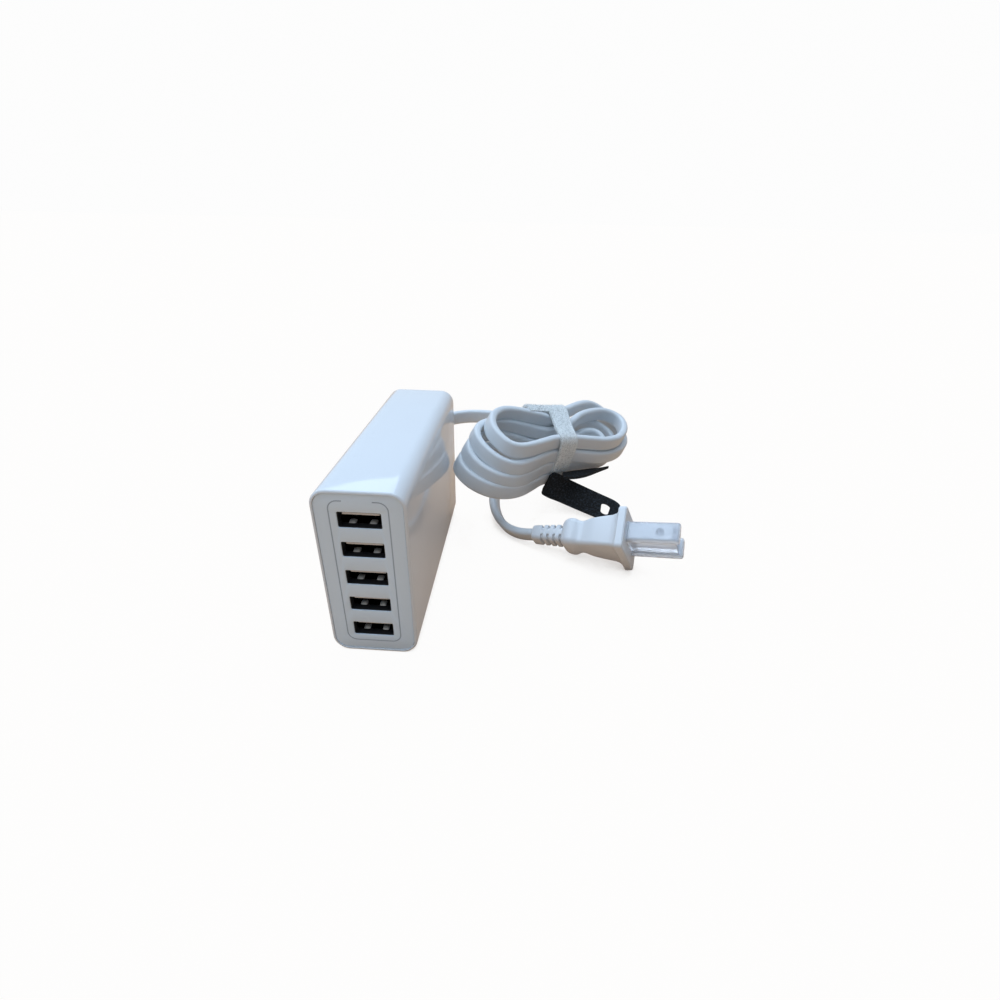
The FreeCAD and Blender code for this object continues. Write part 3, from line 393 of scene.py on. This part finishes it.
def repeated(name, shape, count, step, growth, made, foot):
    """A row of copies of one shape, from the foot matrix on; the shape itself goes."""
    row = linked(name, bpy.data.meshes.new(name))
    row.data = grown(row, row_tree, {"Count": count, "Step": Vector(step) * MM, "Growth": growth,
                                     "Shape": shape, "Material": made})
    row.data.transform(foot)
    bpy.data.objects.remove(shape)
    smooth(row, 40.0)
    return row


low_port = Matrix.Translation(Vector((0.0, panel_front, body_half_high + low_port_z)) * MM)


def in_ports(name, shape, made, slot):
    """A shape drawn in the lowest slot, copied into all of them."""
    row = repeated(name, shape, port_count, (0.0, 0.0, port_pitch), (0, 0, 0), made, low_port)
    dress(row, made, slot)


# how deep a spring is at each bend, and its foot and top there
spring_line = ((2.2, -2.58, -2.5), (2.5, -2.6, -2.2), (2.9, -2.6, -1.95), (3.5, -2.6, -1.82),
               (4.2, -2.6, -1.95), (5.2, -2.6, -2.5))
leaves = [lofted("spring_leaf", [
    [Vector((middle + x, deep, low + z * (high - low))) * MM for x, z in (
        (-1.05, 0.0), (1.05, 0.0), (0.95, 0.7), (0.55, 0.95), (0.0, 1.0), (-0.55, 0.95), (-0.95, 0.7))]
    for deep, low, high in spring_line]) for middle in (-3.0, 3.0)]
both = bmesh.new()
for leaf in leaves:
    both.from_mesh(leaf.data)
    bpy.data.objects.remove(leaf)
spring_pair = linked("spring_pair", bpy.data.meshes.new("spring_pair"))
both.to_mesh(spring_pair.data)
both.free()
spring_metal = finish("spring_metal", (0.72, 0.71, 0.67), (0.50, 0.49, 0.46), 0.42, 2600.0, mottle=0.5,
                      spread=0.2, bump=0.05, Metallic=0.35)
in_ports("port_springs", spring_pair, spring_metal, "socket_steel")
tip_rows = [[Vector((x + 0.2, deep, z + 1.62)) * MM for x, z in ring(
    5.4 - inset, 0.55 - inset, 0.3 - inset, 3)] for deep, inset in ((1.2, 0.2), (1.4, 0.0), (3.1, 0.0))]
in_ports("tongue_tips", lofted("tongue_tip", tip_rows), tongue_pale, "panel_white")
# thin black sleeves lining the walls of each slot: painted shade, so the slot walls look as dark as the shade
# inside
shade_sleeve_rows = [[Vector((x, deep, z)) * MM for x, z in ring(port_half - thin, port_half_high - thin, 0.46, 4)]
               for deep, thin in ((0.3, 0.03), (2.6, 0.03), (2.6, 0.2), (0.3, 0.2))]
in_ports("port_sleeves", lofted("port_sleeve", shade_sleeve_rows, closed=True), tongue_black, "socket_steel")


# Circuit: a lacquered board on edge with the parts of a mains supply on it. They are inside
# the closed casing, and each has the finish of its real material.
black_case = finish("package_black", (0.03, 0.03, 0.032), (0.06, 0.06, 0.06), 0.5, 2600.0, bump=0.08)
bright_plate = finish("sink_plate", (0.74, 0.75, 0.76), (0.58, 0.59, 0.60), 0.3, 700.0, spread=0.25,
                      Metallic=1.0)
sleeve_black = finish("can_sleeve", (0.03, 0.03, 0.05), (0.06, 0.06, 0.10), 0.25, 500.0, bump=0.02)
for look, names in (
        (finish("board_lacquer", (0.035, 0.20, 0.085), (0.06, 0.30, 0.13), 0.3, 260.0, mottle=0.9, bump=0.1),
         ("main_board",)),
        (finish("insulating_film", (0.78, 0.76, 0.66), (0.68, 0.64, 0.52), 0.25, 300.0),
         ("insulation_sheet",)),
        (finish("capacitor_yellow", (0.76, 0.58, 0.08), (0.66, 0.48, 0.06), 0.35, 1500.0), ("x_capacitor",)),
        (black_case, ("bridge_rectifier", "switch_transistor", "optocoupler", "secondary_rectifier",
                      "control_chip", "fuse")),
        (bright_plate, ("primary_heat_sink", "secondary_heat_sink")),
        (sleeve_black, ("bulk_capacitor_1", "bulk_capacitor_2", "output_capacitor_1", "output_capacitor_2")),
        (finish("disc_blue", (0.09, 0.20, 0.52), (0.14, 0.28, 0.62), 0.2, 900.0), ("y_capacitor",)),
        (finish("ferrite", (0.065, 0.065, 0.07), (0.11, 0.11, 0.115), 0.6, 2400.0, bump=0.15),
         ("transformer_core",)),
        (finish("winding_tape", (0.74, 0.56, 0.08), (0.60, 0.44, 0.06), 0.3, 400.0, bump=0.1),
         ("transformer_winding",)),
        (finish("enamelled_wire", (0.50, 0.20, 0.06), (0.34, 0.12, 0.03), 0.25, 1800.0, bump=0.5,
                Metallic=0.7),
         ("mains_choke",))):
    for name in names:
        dress(nodes[name], look)


# Mains inlet: a white moulded socket in the rear wall, with two plated pins. The cord's
# connector sits in it: a soft moulded grip with a short boot, and sleeves on the pins.
pin_metal = finish("pin_plating", (0.74, 0.72, 0.67), (0.62, 0.60, 0.56), 0.2, 2600.0, bump=0.02,
                   Metallic=1.0)
soft_white = finish("soft_moulding", (0.76, 0.79, 0.82), (0.68, 0.70, 0.72), 0.34, 1100.0, mottle=0.25,
                    dust=0.2, bump=0.05)
dress(nodes["ac_inlet"], finish("inlet_white", (0.74, 0.76, 0.77), (0.66, 0.68, 0.68), 0.4, 1300.0))
dress(nodes["inlet_pins"], pin_metal)
dress(nodes["connector_contacts"], pin_metal)
connector = linked("cord_connector", nodes["connector_body"].data.copy())
smooth(connector, 28.0)
dress(connector, soft_white, "plug_white", "connector_body")


# Mains cord: a flat two-core lead in a soft white sheath, wound on edge. It leaves the
# connector, goes four and a half times round the hank, each turn its own size, and ends in
# the plug.
def spline_line(name, points, closed=False):
    """Points of the smooth line that the given points control, in metres."""
    curve = bpy.data.curves.new(name, "CURVE")
    curve.dimensions = "3D"
    curve.resolution_u = 6
    strand = curve.splines.new("NURBS")
    strand.points.add(len(points) - 1)
    for spot, point in zip(strand.points, points):
        spot.co = (*(Vector(point) * MM), 1.0)
    strand.order_u = 3
    strand.use_endpoint_u = not closed
    strand.use_cyclic_u = closed
    thing = linked(name, curve)
    read = bpy.data.meshes.new_from_object(thing)
    line = [v.co.copy() for v in read.vertices]
    line = line[:1] + [b for a, b in zip(line, line[1:]) if (b - a).length > 1e-6]
    bpy.data.objects.remove(thing)
    bpy.data.meshes.remove(read)
    return line


cord_wide, cord_thick, cord_round = 6.7, 3.4, 1.3
hank_turn = Euler([math.radians(a) for a in (16.5, 9.1, 38.0)]).to_matrix()
hank_foot = Vector((54.0, 60.1, 15.1))


def on_hank(u, v, n):
    return hank_foot + hank_turn @ Vector((u, v, n))


lead_points = [Vector(p) for p in (
    (0.0, 73.0, 29.0), (0.0, 81.6, 29.0), (4.4, 89.1, 29.1), (12.0, 93.5, 29.3), (20.8, 93.4, 29.8),
    (29.5, 88.6, 31.1), (35.2, 81.6, 33.4))]
# right and left halves of each turn in the order they are wound: along, across and above the hank
turn_halves = (
    ((-6.5, 23.0, 15.5), (-3.0, 18.0, 19.5), (4.5, 15.0, 22.3), (12.7, 14.8, 22.9), (19.4, 17.2, 23.2),
     (27.0, 19.6, 23.4), (34.0, 20.6, 23.0), (40.0, 18.8, 21.6), (44.4, 14.4, 19.2), (46.8, 8.2, 17.2),
     (46.2, 1.8, 16.3), (42.4, -4.0, 16.1), (36.0, -8.4, 16.0), (28.0, -11.2, 16.0), (19.0, -12.0, 16.0),
     (10.0, -10.4, 16.1), (3.0, -8.0, 16.2)),
    ((-7.8, -6.8, 16.2), (-17.0, -9.9, 16.5), (-26.0, -13.2, 16.7), (-32.6, -14.6, 16.8),
     (-37.5, -12.5, 16.9), (-40.8, -7.3, 16.9), (-42.2, -0.8, 17.0), (-41.6, 5.7, 17.1), (-38.9, 11.0, 17.2),
     (-34.2, 15.0, 17.3), (-27.5, 16.8, 17.3), (-20.5, 16.2, 17.2), (-12.5, 13.4, 16.9), (-5.0, 10.0, 16.5)),
    ((0.5, 7.0, 16.8), (8.0, 6.0, 19.6), (12.5, 7.2, 22.0), (19.3, 10.6, 23.0), (29.9, 13.4, 22.9),
     (38.0, 13.7, 22.9), (43.0, 11.0, 22.8), (44.8, 5.8, 22.8), (40.6, -1.4, 22.8), (33.5, -7.0, 22.8),
     (26.8, -9.8, 22.8), (18.8, -10.6, 22.8), (11.2, -9.0, 22.8), (2.9, -7.2, 22.8)),
    ((-7.8, -5.9, 22.8), (-17.0, -8.2, 22.8), (-25.8, -10.4, 22.8), (-32.0, -10.5, 22.8), (-35.4, -8.0, 22.8),
     (-36.6, -3.4, 22.8), (-36.7, 2.0, 22.8), (-35.0, 7.6, 22.8), (-31.5, 12.7, 22.8), (-27.0, 16.0, 22.8),
     (-22.4, 17.4, 22.8), (-17.4, 17.0, 22.8), (-10.9, 14.4, 22.8), (-4.0, 11.8, 22.6)),
    ((0.5, 11.0, 21.5), (7.5, 10.6, 18.8), (14.0, 10.2, 17.0), (21.0, 12.2, 16.6), (29.0, 14.2, 16.6),
     (36.0, 12.8, 16.3), (40.4, 7.6, 15.0), (41.2, 2.6, 13.6), (37.6, -1.6, 11.2), (32.4, -6.2, 10.4),
     (24.0, -8.4, 9.8), (15.0, -8.4, 9.75), (7.0, -7.6, 9.75)),
    ((-7.8, -7.0, 9.8), (-17.0, -10.8, 10.5), (-26.2, -14.5, 11.1), (-33.8, -16.2, 11.4),
     (-40.2, -14.1, 11.6), (-44.5, -8.5, 11.7), (-46.2, -1.6, 11.8), (-44.8, 4.9, 11.9), (-41.0, 10.0, 11.95),
     (-35.6, 13.6, 11.95), (-28.6, 16.0, 12.1), (-20.5, 15.2, 11.5), (-12.5, 12.0, 10.6), (-5.0, 8.4, 9.75)),
    ((0.5, 8.0, 9.2), (7.5, 7.8, 7.4), (14.0, 8.6, 6.2), (21.0, 10.2, 5.8), (28.0, 10.8, 5.8),
     (33.4, 8.8, 5.8), (36.0, 4.6, 6.2), (34.6, 0.4, 6.8), (29.6, -2.4, 6.9), (22.0, -4.2, 6.4),
     (14.0, -5.4, 5.2), (6.0, -6.6, 4.0)),
    ((-7.8, -7.6, 3.3), (-17.0, -11.8, 4.6), (-26.5, -15.7, 5.9), (-34.5, -17.2, 6.9), (-41.8, -15.4, 7.1),
     (-47.0, -10.2, 7.2), (-49.2, -3.6, 7.2), (-48.2, 3.2, 6.65), (-43.6, 8.6, 6.65), (-37.0, 12.0, 6.65),
     (-29.4, 13.8, 6.3), (-20.5, 13.2, 5.0), (-12.5, 10.2, 3.9), (-5.0, 7.0, 3.3)),
    ((0.5, 5.6, 3.3), (7.5, 4.8, 7.2), (14.0, 5.8, 11.4), (20.0, 7.2, 14.2), (25.2, 7.4, 15.6),
     (29.2, 5.6, 16.2), (30.8, 1.8, 15.9), (29.2, -2.0, 14.6), (25.0, -3.9, 12.8), (19.0, -4.4, 10.3),
     (12.0, -3.8, 7.4), (5.0, -3.2, 4.8), (-3.0, -1.6, 2.2), (-9.0, 3.0, -1.2), (-14.0, 7.8, -7.4)))
tail_points = [Vector(p) for p in (
    (31.6, 55.8, 7.8), (31.2, 49.4, 5.4), (32.0, 42.2, 4.4), (33.8, 35.2, 4.0), (36.5, 28.9, 3.8),
    (40.1, 24.1, 3.8), (44.9, 21.15, 4.06), (50.37, 19.13, 5.4), (55.85, 17.1, 6.74))]
cord_points = lead_points + [on_hank(*p) for half in turn_halves for p in half] + tail_points
cord_path = spline_line("cord_line", cord_points)
cord_reach = [0.0]
for a, b in zip(cord_path, cord_path[1:]):
    cord_reach.append(cord_reach[-1] + (b - a).length)
cord_length = cord_reach[-1]
hank_up = hank_turn @ Vector((0, 0, 1))
plug_up = Vector((-0.37, -0.468, 0.803)).normalized()
# shares of the length at which the lead leans over to the hank, and the cord to the plug
lean_from, lean_to, twist_from, twist_to = 0.04, 0.10, 0.92, 0.955
# the left lobe: its middle, how far out the turns start to splay and are fully splayed, and how much
lobe_middle, splay_from, splay_full, splay = (-22.0, 1.0, 0.0), 12.0, 26.0, 0.22


def wide_way(share, point):
    """The way the cord's wide side stands: upright, splayed in the left lobe, then as the plug is."""
    if share < lean_to:
        leaning = max(0.0, (share - lean_from) / (lean_to - lean_from))
        return Vector((0, 0, 1)).lerp(hank_up, leaning).normalized()
    if share < twist_from:
        across = point / MM - on_hank(*lobe_middle)
        across -= across.dot(hank_up) * hank_up
        out = -(point / MM - hank_foot).dot(hank_turn @ Vector((1, 0, 0)))
        far = min(1.0, max(0.0, out - splay_from) / (splay_full - splay_from))
        return (hank_up - splay * far * across.normalized()).normalized()
    t = min(1.0, (share - twist_from) / (twist_to - twist_from))
    return hank_up.slerp(plug_up, t * t * (3 - 2 * t))


cord_ring = ring(cord_wide / 2, cord_thick / 2, cord_round, 4)
cord_rings = []
for i, (point, at) in enumerate(zip(cord_path, cord_reach)):
    ahead = (cord_path[min(i + 1, len(cord_path) - 1)] - cord_path[max(i - 1, 0)]).normalized()
    wide = wide_way(at / cord_length, point)
    wide = (wide - wide.dot(ahead) * ahead).normalized()
    thin = ahead.cross(wide)
    cord_rings.append([point + (w * wide + t * thin) * MM for w, t in cord_ring])
cord = lofted("mains_cord", cord_rings)
cord.data.set_sharp_from_angle(angle=math.radians(60))
dress(cord, finish("cord_sheath", (0.70, 0.74, 0.77), (0.62, 0.64, 0.66), 0.36, 1500.0, mottle=0.3, dust=0.12,
                   bump=0.04), "cord_white", "cord_lead", "cord_hank", "cord_tail")


# Mains plug, drawn along its own axis: a slotted strain relief with ribs, a rounded collar, a
# waisted grip and a square flange, all one soft white moulding round the cord.
plug_turn = Euler([math.radians(a) for a in (-55.45, -12.91, -20.33)]).to_matrix()
plug_foot = Vector((50.37, 19.13, 5.4))


def on_plug(x, y, z):
    return (plug_foot + plug_turn @ Vector((x, y, z))) * MM


def plug_ring(x, half_wide, half_high, corner):
    return [on_plug(x, y, z) for y, z in ring(half_wide, half_high, corner)]


# stations along the plug: how far on, half width, half height and corner
grip_stations = (
    (13.3, 4.0, 3.55, 1.7), (13.45, 4.5, 4.1, 1.9), (13.8, 5.2, 4.75, 2.1), (14.4, 5.8, 5.3, 2.3),
    (15.4, 6.35, 5.7, 2.5), (16.6, 6.7, 5.95, 2.6), (17.6, 6.75, 6.0, 2.6), (18.5, 6.55, 5.9, 2.5),
    (19.4, 5.95, 5.65, 2.3), (20.3, 5.35, 5.45, 2.1), (21.4, 5.05, 5.35, 1.9), (22.6, 5.4, 5.5, 1.8),
    (25.0, 6.4, 5.95, 1.7), (28.0, 7.2, 6.25, 1.6), (31.0, 7.7, 6.5, 1.5), (33.8, 8.1, 6.75, 1.5),
    (35.4, 8.6, 7.1, 1.5), (36.3, 9.3, 7.6, 1.5), (36.75, 10.2, 8.2, 1.5))
flange_stations = (
    (36.8, 11.3, 8.3, 1.3), (37.15, 11.7, 8.7, 1.6), (39.5, 11.7, 8.7, 1.6), (39.95, 11.3, 8.3, 1.3))
plug = lofted("plug_grip", [plug_ring(*station) for station in grip_stations + flange_stations])
relief_core = lofted("relief_core", [plug_ring(*station) for station in (
    (3.6, 2.9, 2.45, 1.4), (13.6, 3.2, 2.75, 1.4))])
relief_spine = lofted("relief_spine", [plug_ring(*station) for station in (
    (3.6, 3.8, 1.3, 0.6), (13.6, 4.25, 1.3, 0.6))])
relief_start = lofted("relief_start", [plug_ring(*station) for station in (
    (-0.05, 3.2, 2.7, 1.4), (0.25, 3.55, 3.05, 1.6), (0.6, 3.72, 3.22, 1.7), (3.75, 3.88, 3.4, 1.8),
    (4.1, 3.6, 3.1, 1.6))])
rib_count, rib_first, rib_pitch, rib_thick, rib_edge = 3, 6.0, 2.7, 1.7, 0.2
rib_growth = (0.0, 0.032, 0.038)
rib_shape = lofted("rib_shape", [
    [Vector((x, y, z)) * MM for y, z in ring(3.97 - inset, 3.5 - inset, 1.9 - inset)] for x, inset in (
        (-rib_thick / 2, rib_edge), (-rib_thick / 2 + rib_edge, 0.0), (rib_thick / 2 - rib_edge, 0.0),
        (rib_thick / 2, rib_edge))])
ribs = repeated("relief_ribs", rib_shape, rib_count, (rib_pitch, 0, 0), rib_growth, soft_white,
                Matrix.Translation(on_plug(rib_first, 0, 0)) @ plug_turn.to_4x4())
dress(plug, soft_white, "plug_white", "plug_body")
for piece in (relief_core, relief_spine, relief_start, ribs):
    dress(piece, soft_white, "plug_white")


# Blades and their cover: two nickel-plated strips on the flange, in a cover of clear soft
# plastic with one sleeve for each blade and a web between the sleeves.
for name in ("plug_blade_a", "plug_blade_b"):
    dress(nodes[name], pin_metal)
blade_apart, sleeve_half, hole_half = 12.7, (1.6, 4.125), (0.9, 3.325)
cover_ends = (39.98, 59.15)


def cover_block(middle, half, corner, ends, edge):
    """A block along the plug with a rounded far end, for joining to the cover or cutting it."""
    return lofted("cover_block", [[on_plug(x, y + middle, z) for y, z in ring(
        half[0] - inset, half[1] - inset, corner - 0.8 * inset, 5)] for x, inset in (
            (ends[0], 0.0), (ends[1] - edge, 0.0), (ends[1] - 0.6 * edge, 0.08 * edge),
            (ends[1] - 0.25 * edge, 0.34 * edge), (ends[1], edge))])


cover = cover_block(-blade_apart / 2, sleeve_half, 1.3, cover_ends, 1.0)
cover.name = cover.data.name = "blade_cover_clear"
blocks = [("UNION", cover_block(blade_apart / 2, sleeve_half, 1.3, cover_ends, 1.0)),
          ("UNION", cover_block(0.0, (blade_apart / 2, 3.2), 0.5, (cover_ends[0], 57.55), 0.3))]
blocks += [("DIFFERENCE", cover_block(y, hole_half, 0.4, (38.0, cover_ends[1] - 0.8), 0.1))
           for y in (-blade_apart / 2, blade_apart / 2)]
for way, block in blocks:
    joined = cover.modifiers.new(way, "BOOLEAN")
    joined.operation, joined.object = way, block
cover.data = settled(cover)
cover.modifiers.clear()
for way, block in blocks:
    bpy.data.objects.remove(block)
smooth(cover, 32.0)
dress(cover, finish("clear_cover", (0.80, 0.85, 0.92), (0.74, 0.80, 0.88), 0.14, 420.0, mottle=0.4,
                    spread=0.08, bump=0.03, Transmission_Weight=0.68, IOR=1.42),
      "cover_clear", "blade_cover")


# Strap: a hook-and-loop tie, with its grey napped side outside. Its loop is round the waist of
# the hank, and its flap lies over the top and down on the lead.
def ribbon(name, edge_a, edge_b, thick, across=8, closed=False):
    """A band between two edge lines, thickened outwards, with a UV map in metres."""
    count = len(edge_a)
    vertices = [a.lerp(b, k / across) for a, b in zip(edge_a, edge_b) for k in range(across + 1)]
    faces, uvs, along = [], [], 0.0
    for i in range(count if closed else count - 1):
        nxt = (i + 1) % count
        step = ((edge_a[nxt] + edge_b[nxt]) - (edge_a[i] + edge_b[i])).length / 2
        wide = (edge_b[i] - edge_a[i]).length
        for k in range(across):
            faces.append((i * (across + 1) + k, i * (across + 1) + k + 1,
                          nxt * (across + 1) + k + 1, nxt * (across + 1) + k))
            low, high = k / across * wide, (k + 1) / across * wide
            uvs += [(low, along), (high, along), (high, along + step), (low, along + step)]
        along += step
    piece = mesh_piece(name, vertices, faces)
    layer = piece.data.uv_layers.new(name="cloth")
    for spot, uv in zip(layer.data, uvs):
        spot.uv = uv
    body = piece.modifiers.new("thickness", "SOLIDIFY")
    body.thickness = thick * MM
    body.offset = 1.0
    piece.data = settled(piece)
    piece.modifiers.clear()
    piece.data.polygons.foreach_set("use_smooth", [True] * len(piece.data.polygons))
    piece.data.set_sharp_from_angle(angle=math.radians(50))
    return piece


strap_thick = 1.2
# stations round the hank: left and right edge along it, then across and above it
loop_stations = (
    (-5.0, 4.2, -9.4, 0.2), (-5.4, 3.8, -9.8, 7.0), (-5.8, 3.4, -9.9, 13.0), (-6.4, 2.8, -10.1, 18.6),
    (-7.2, 2.0, -10.1, 22.8), (-7.8, 1.4, -9.3, 25.8), (-7.6, 1.8, -6.6, 26.9), (-6.4, 3.2, -2.8, 26.8),
    (-3.8, 6.2, 3.0, 26.6), (-1.0, 9.6, 9.0, 26.8), (0.4, 11.4, 13.5, 27.2), (0.6, 11.8, 17.4, 26.8),
    (0.4, 11.4, 18.6, 22.0), (-0.6, 9.0, 15.8, 14.0), (-2.5, 7.0, 12.4, 6.0), (-4.0, 5.5, 9.8, -0.6),
    (-4.6, 4.6, 6.0, -1.0), (-4.6, 4.6, 0.0, -0.6), (-4.6, 4.6, -6.5, -1.0))
loop_edges = [spline_line("loop_edge", [on_hank(s[end], s[2], s[3]) for s in loop_stations], closed=True)
              for end in (1, 0)]
strap_loop = ribbon("strap_loop", *loop_edges, strap_thick, closed=True)
flap_stations = ((12.6, 26.4), (15.2, 26.9), (17.6, 26.6), (18.8, 24.6), (18.9, 22.4))
flap_edges = [spline_line("flap_edge", [on_hank(u, v + shift, n) for v, n in flap_stations])
              for u, shift in ((3.4, -0.6), (-10.0, 0.7))]
strap_flap = ribbon("strap_flap", *flap_edges, strap_thick)
nap_grey = finish("nap_grey", (0.90, 0.92, 0.91), (0.46, 0.48, 0.47), 0.9, 1700.0, mottle=0.4, dust=0.35,
                  bump=0.8, speckle=3.0, Sheen_Weight=0.3)
dress(strap_loop, nap_grey, "strap_grey", "strap")
dress(strap_flap, nap_grey, "strap_grey")


# Strap end and tail: the black hook side of the same tie, where it leaves the loop. The pointed
# end stands out behind. The tail is a flat cut-out with a slot, bent between two edge lines.
end_front = ((62.4, 44.0, 20.8), (66.3, 45.2, 20.2), (72.2, 49.2, 19.4), (77.4, 55.2, 18.5),
             (81.9, 62.4, 17.0), (86.0, 68.2, 15.7))
end_back = ((62.4, 50.0, 20.2), (66.7, 54.2, 19.2), (71.7, 57.4, 18.4), (76.8, 60.9, 17.8),
            (81.6, 65.4, 16.1), (86.3, 69.0, 15.6))
end_edges = [spline_line("end_edge", edge) for edge in (end_front, end_back)]
strap_end = ribbon("strap_end", *end_edges, strap_thick)
tail_long, tail_wide, tail_corner = 40.0, 12.1, 2.2
slot_middle, slot_half, slot_corner = (37.0, 5.7), (1.15, 2.7), 1.1
tail_low = spline_line("tail_edge", (
    (52.7, 46.5, 10.9), (55.4, 46.0, 9.0), (61.7, 46.0, 6.7), (70.5, 44.5, 3.8), (78.6, 41.2, 2.2),
    (85.2, 37.7, 1.4)))
tail_high = spline_line("tail_edge", (
    (57.5, 46.3, 21.6), (61.2, 48.5, 20.0), (64.3, 52.0, 16.3), (69.6, 53.5, 13.0), (78.4, 51.0, 10.2),
    (90.4, 44.8, 7.8)))
tail_build = bmesh.new()
spots = []
for points, middle in ((ring(tail_long / 2, tail_wide / 2, tail_corner, 6), (tail_long / 2, tail_wide / 2)),
                       (ring(*slot_half, slot_corner, 6), slot_middle)):
    spots.append([tail_build.verts.new((x + middle[0], y + middle[1], 0.0)) for x, y in points])
edges = [tail_build.edges.new((run[i], run[(i + 1) % len(run)])) for run in spots for i in range(len(run))]
bmesh.ops.triangle_fill(tail_build, use_beauty=True, edges=edges)
for cut_way, cuts in (((1, 0, 0), range(2, int(tail_long), 2)), ((0, 1, 0), range(3, int(tail_wide), 3))):
    for cut_at in cuts:
        bmesh.ops.bisect_plane(
            tail_build, geom=tail_build.verts[:] + tail_build.edges[:] + tail_build.faces[:],
            plane_co=Vector(cut_way) * cut_at, plane_no=cut_way)
bmesh.ops.recalc_face_normals(tail_build, faces=tail_build.faces)
tail_cloth = tail_build.loops.layers.uv.new("cloth")
for face in tail_build.faces:
    for corner in face.loops:
        corner[tail_cloth].uv = (corner.vert.co.x * MM, corner.vert.co.y * MM)
for spot in tail_build.verts:
    at = spot.co.x / tail_long * (len(tail_low) - 1)
    k = min(int(at), len(tail_low) - 2)
    spot.co = tail_low[k].lerp(tail_low[k + 1], at - k).lerp(
        tail_high[k].lerp(tail_high[k + 1], at - k), spot.co.y / tail_wide)
tail_mesh = bpy.data.meshes.new("strap_tail")
tail_build.to_mesh(tail_mesh)
tail_build.free()
strap_tail = linked("strap_tail", tail_mesh)
tail_body = strap_tail.modifiers.new("thickness", "SOLIDIFY")
tail_body.thickness = strap_thick * MM
tail_body.offset = 0.0
strap_tail.data = settled(strap_tail)
strap_tail.modifiers.clear()
smooth(strap_tail, 50.0)
hook_black = finish("hook_black", (0.004, 0.005, 0.006), (0.06, 0.075, 0.095), 0.8, 1500.0, mottle=0.1,
                    dust=0.5, bump=0.7, speckle=2.4, Specular_IOR_Level=0.25)
dress(strap_end, hook_black, "strap_grey")
dress(strap_tail, hook_black, "strap_grey")


# Nap: short grey fibres that stand out of the loop and the flap. One node tree scatters them
# over both, each leaning its own way, with fixed seeds.
fibre_tree, asked = group("strap_nap", "GeometryNodeTree", (
    ("Geometry", "Geometry"), ("Density", "Float"), ("Length", "Float"), ("Seed", "Int"),
    ("Material", "Material")), (("Geometry", "Geometry"),))
roots = add(fibre_tree, "GeometryNodeDistributePointsOnFaces", {}, {
    "Mesh": asked["Geometry"], "Density": asked["Density"], "Seed": asked["Seed"]})
fibre = add(fibre_tree, "GeometryNodeMeshCone", {}, {
    "Vertices": 3, "Radius Top": 0.01 * MM, "Radius Bottom": 0.07 * MM, "Depth": asked["Length"]})
lean = add(fibre_tree, "FunctionNodeRandomValue", {"data_type": "FLOAT_VECTOR"}, {
    0: (-1.1, -1.1, -3.1), 1: (1.1, 1.1, 3.1), "Seed": asked["Seed"]})
lean_turn = add(fibre_tree, "FunctionNodeEulerToRotation", {}, {0: lean.outputs[0]})
stand = add(fibre_tree, "FunctionNodeRotateRotation", {"rotation_space": "LOCAL"}, {
    0: roots.outputs["Rotation"], 1: lean_turn.outputs[0]})
size_of = add(fibre_tree, "FunctionNodeRandomValue", {}, {2: 0.5, 3: 1.3, "Seed": 7})
tufts = add(fibre_tree, "GeometryNodeInstanceOnPoints", {}, {
    "Points": roots.outputs["Points"], "Instance": fibre.outputs["Mesh"], "Rotation": stand.outputs[0],
    "Scale": size_of.outputs[1]})
painted(fibre_tree, tufts.outputs[0], asked["Material"])
for carrier, seed in ((strap_loop, 3), (strap_flap, 5)):
    nap = linked(carrier.name + "_nap", grown(carrier, fibre_tree, {
        "Density": 4.0e6, "Length": 0.7 * MM, "Seed": seed, "Material": nap_grey}))
    dress(nap, nap_grey, "strap_grey")
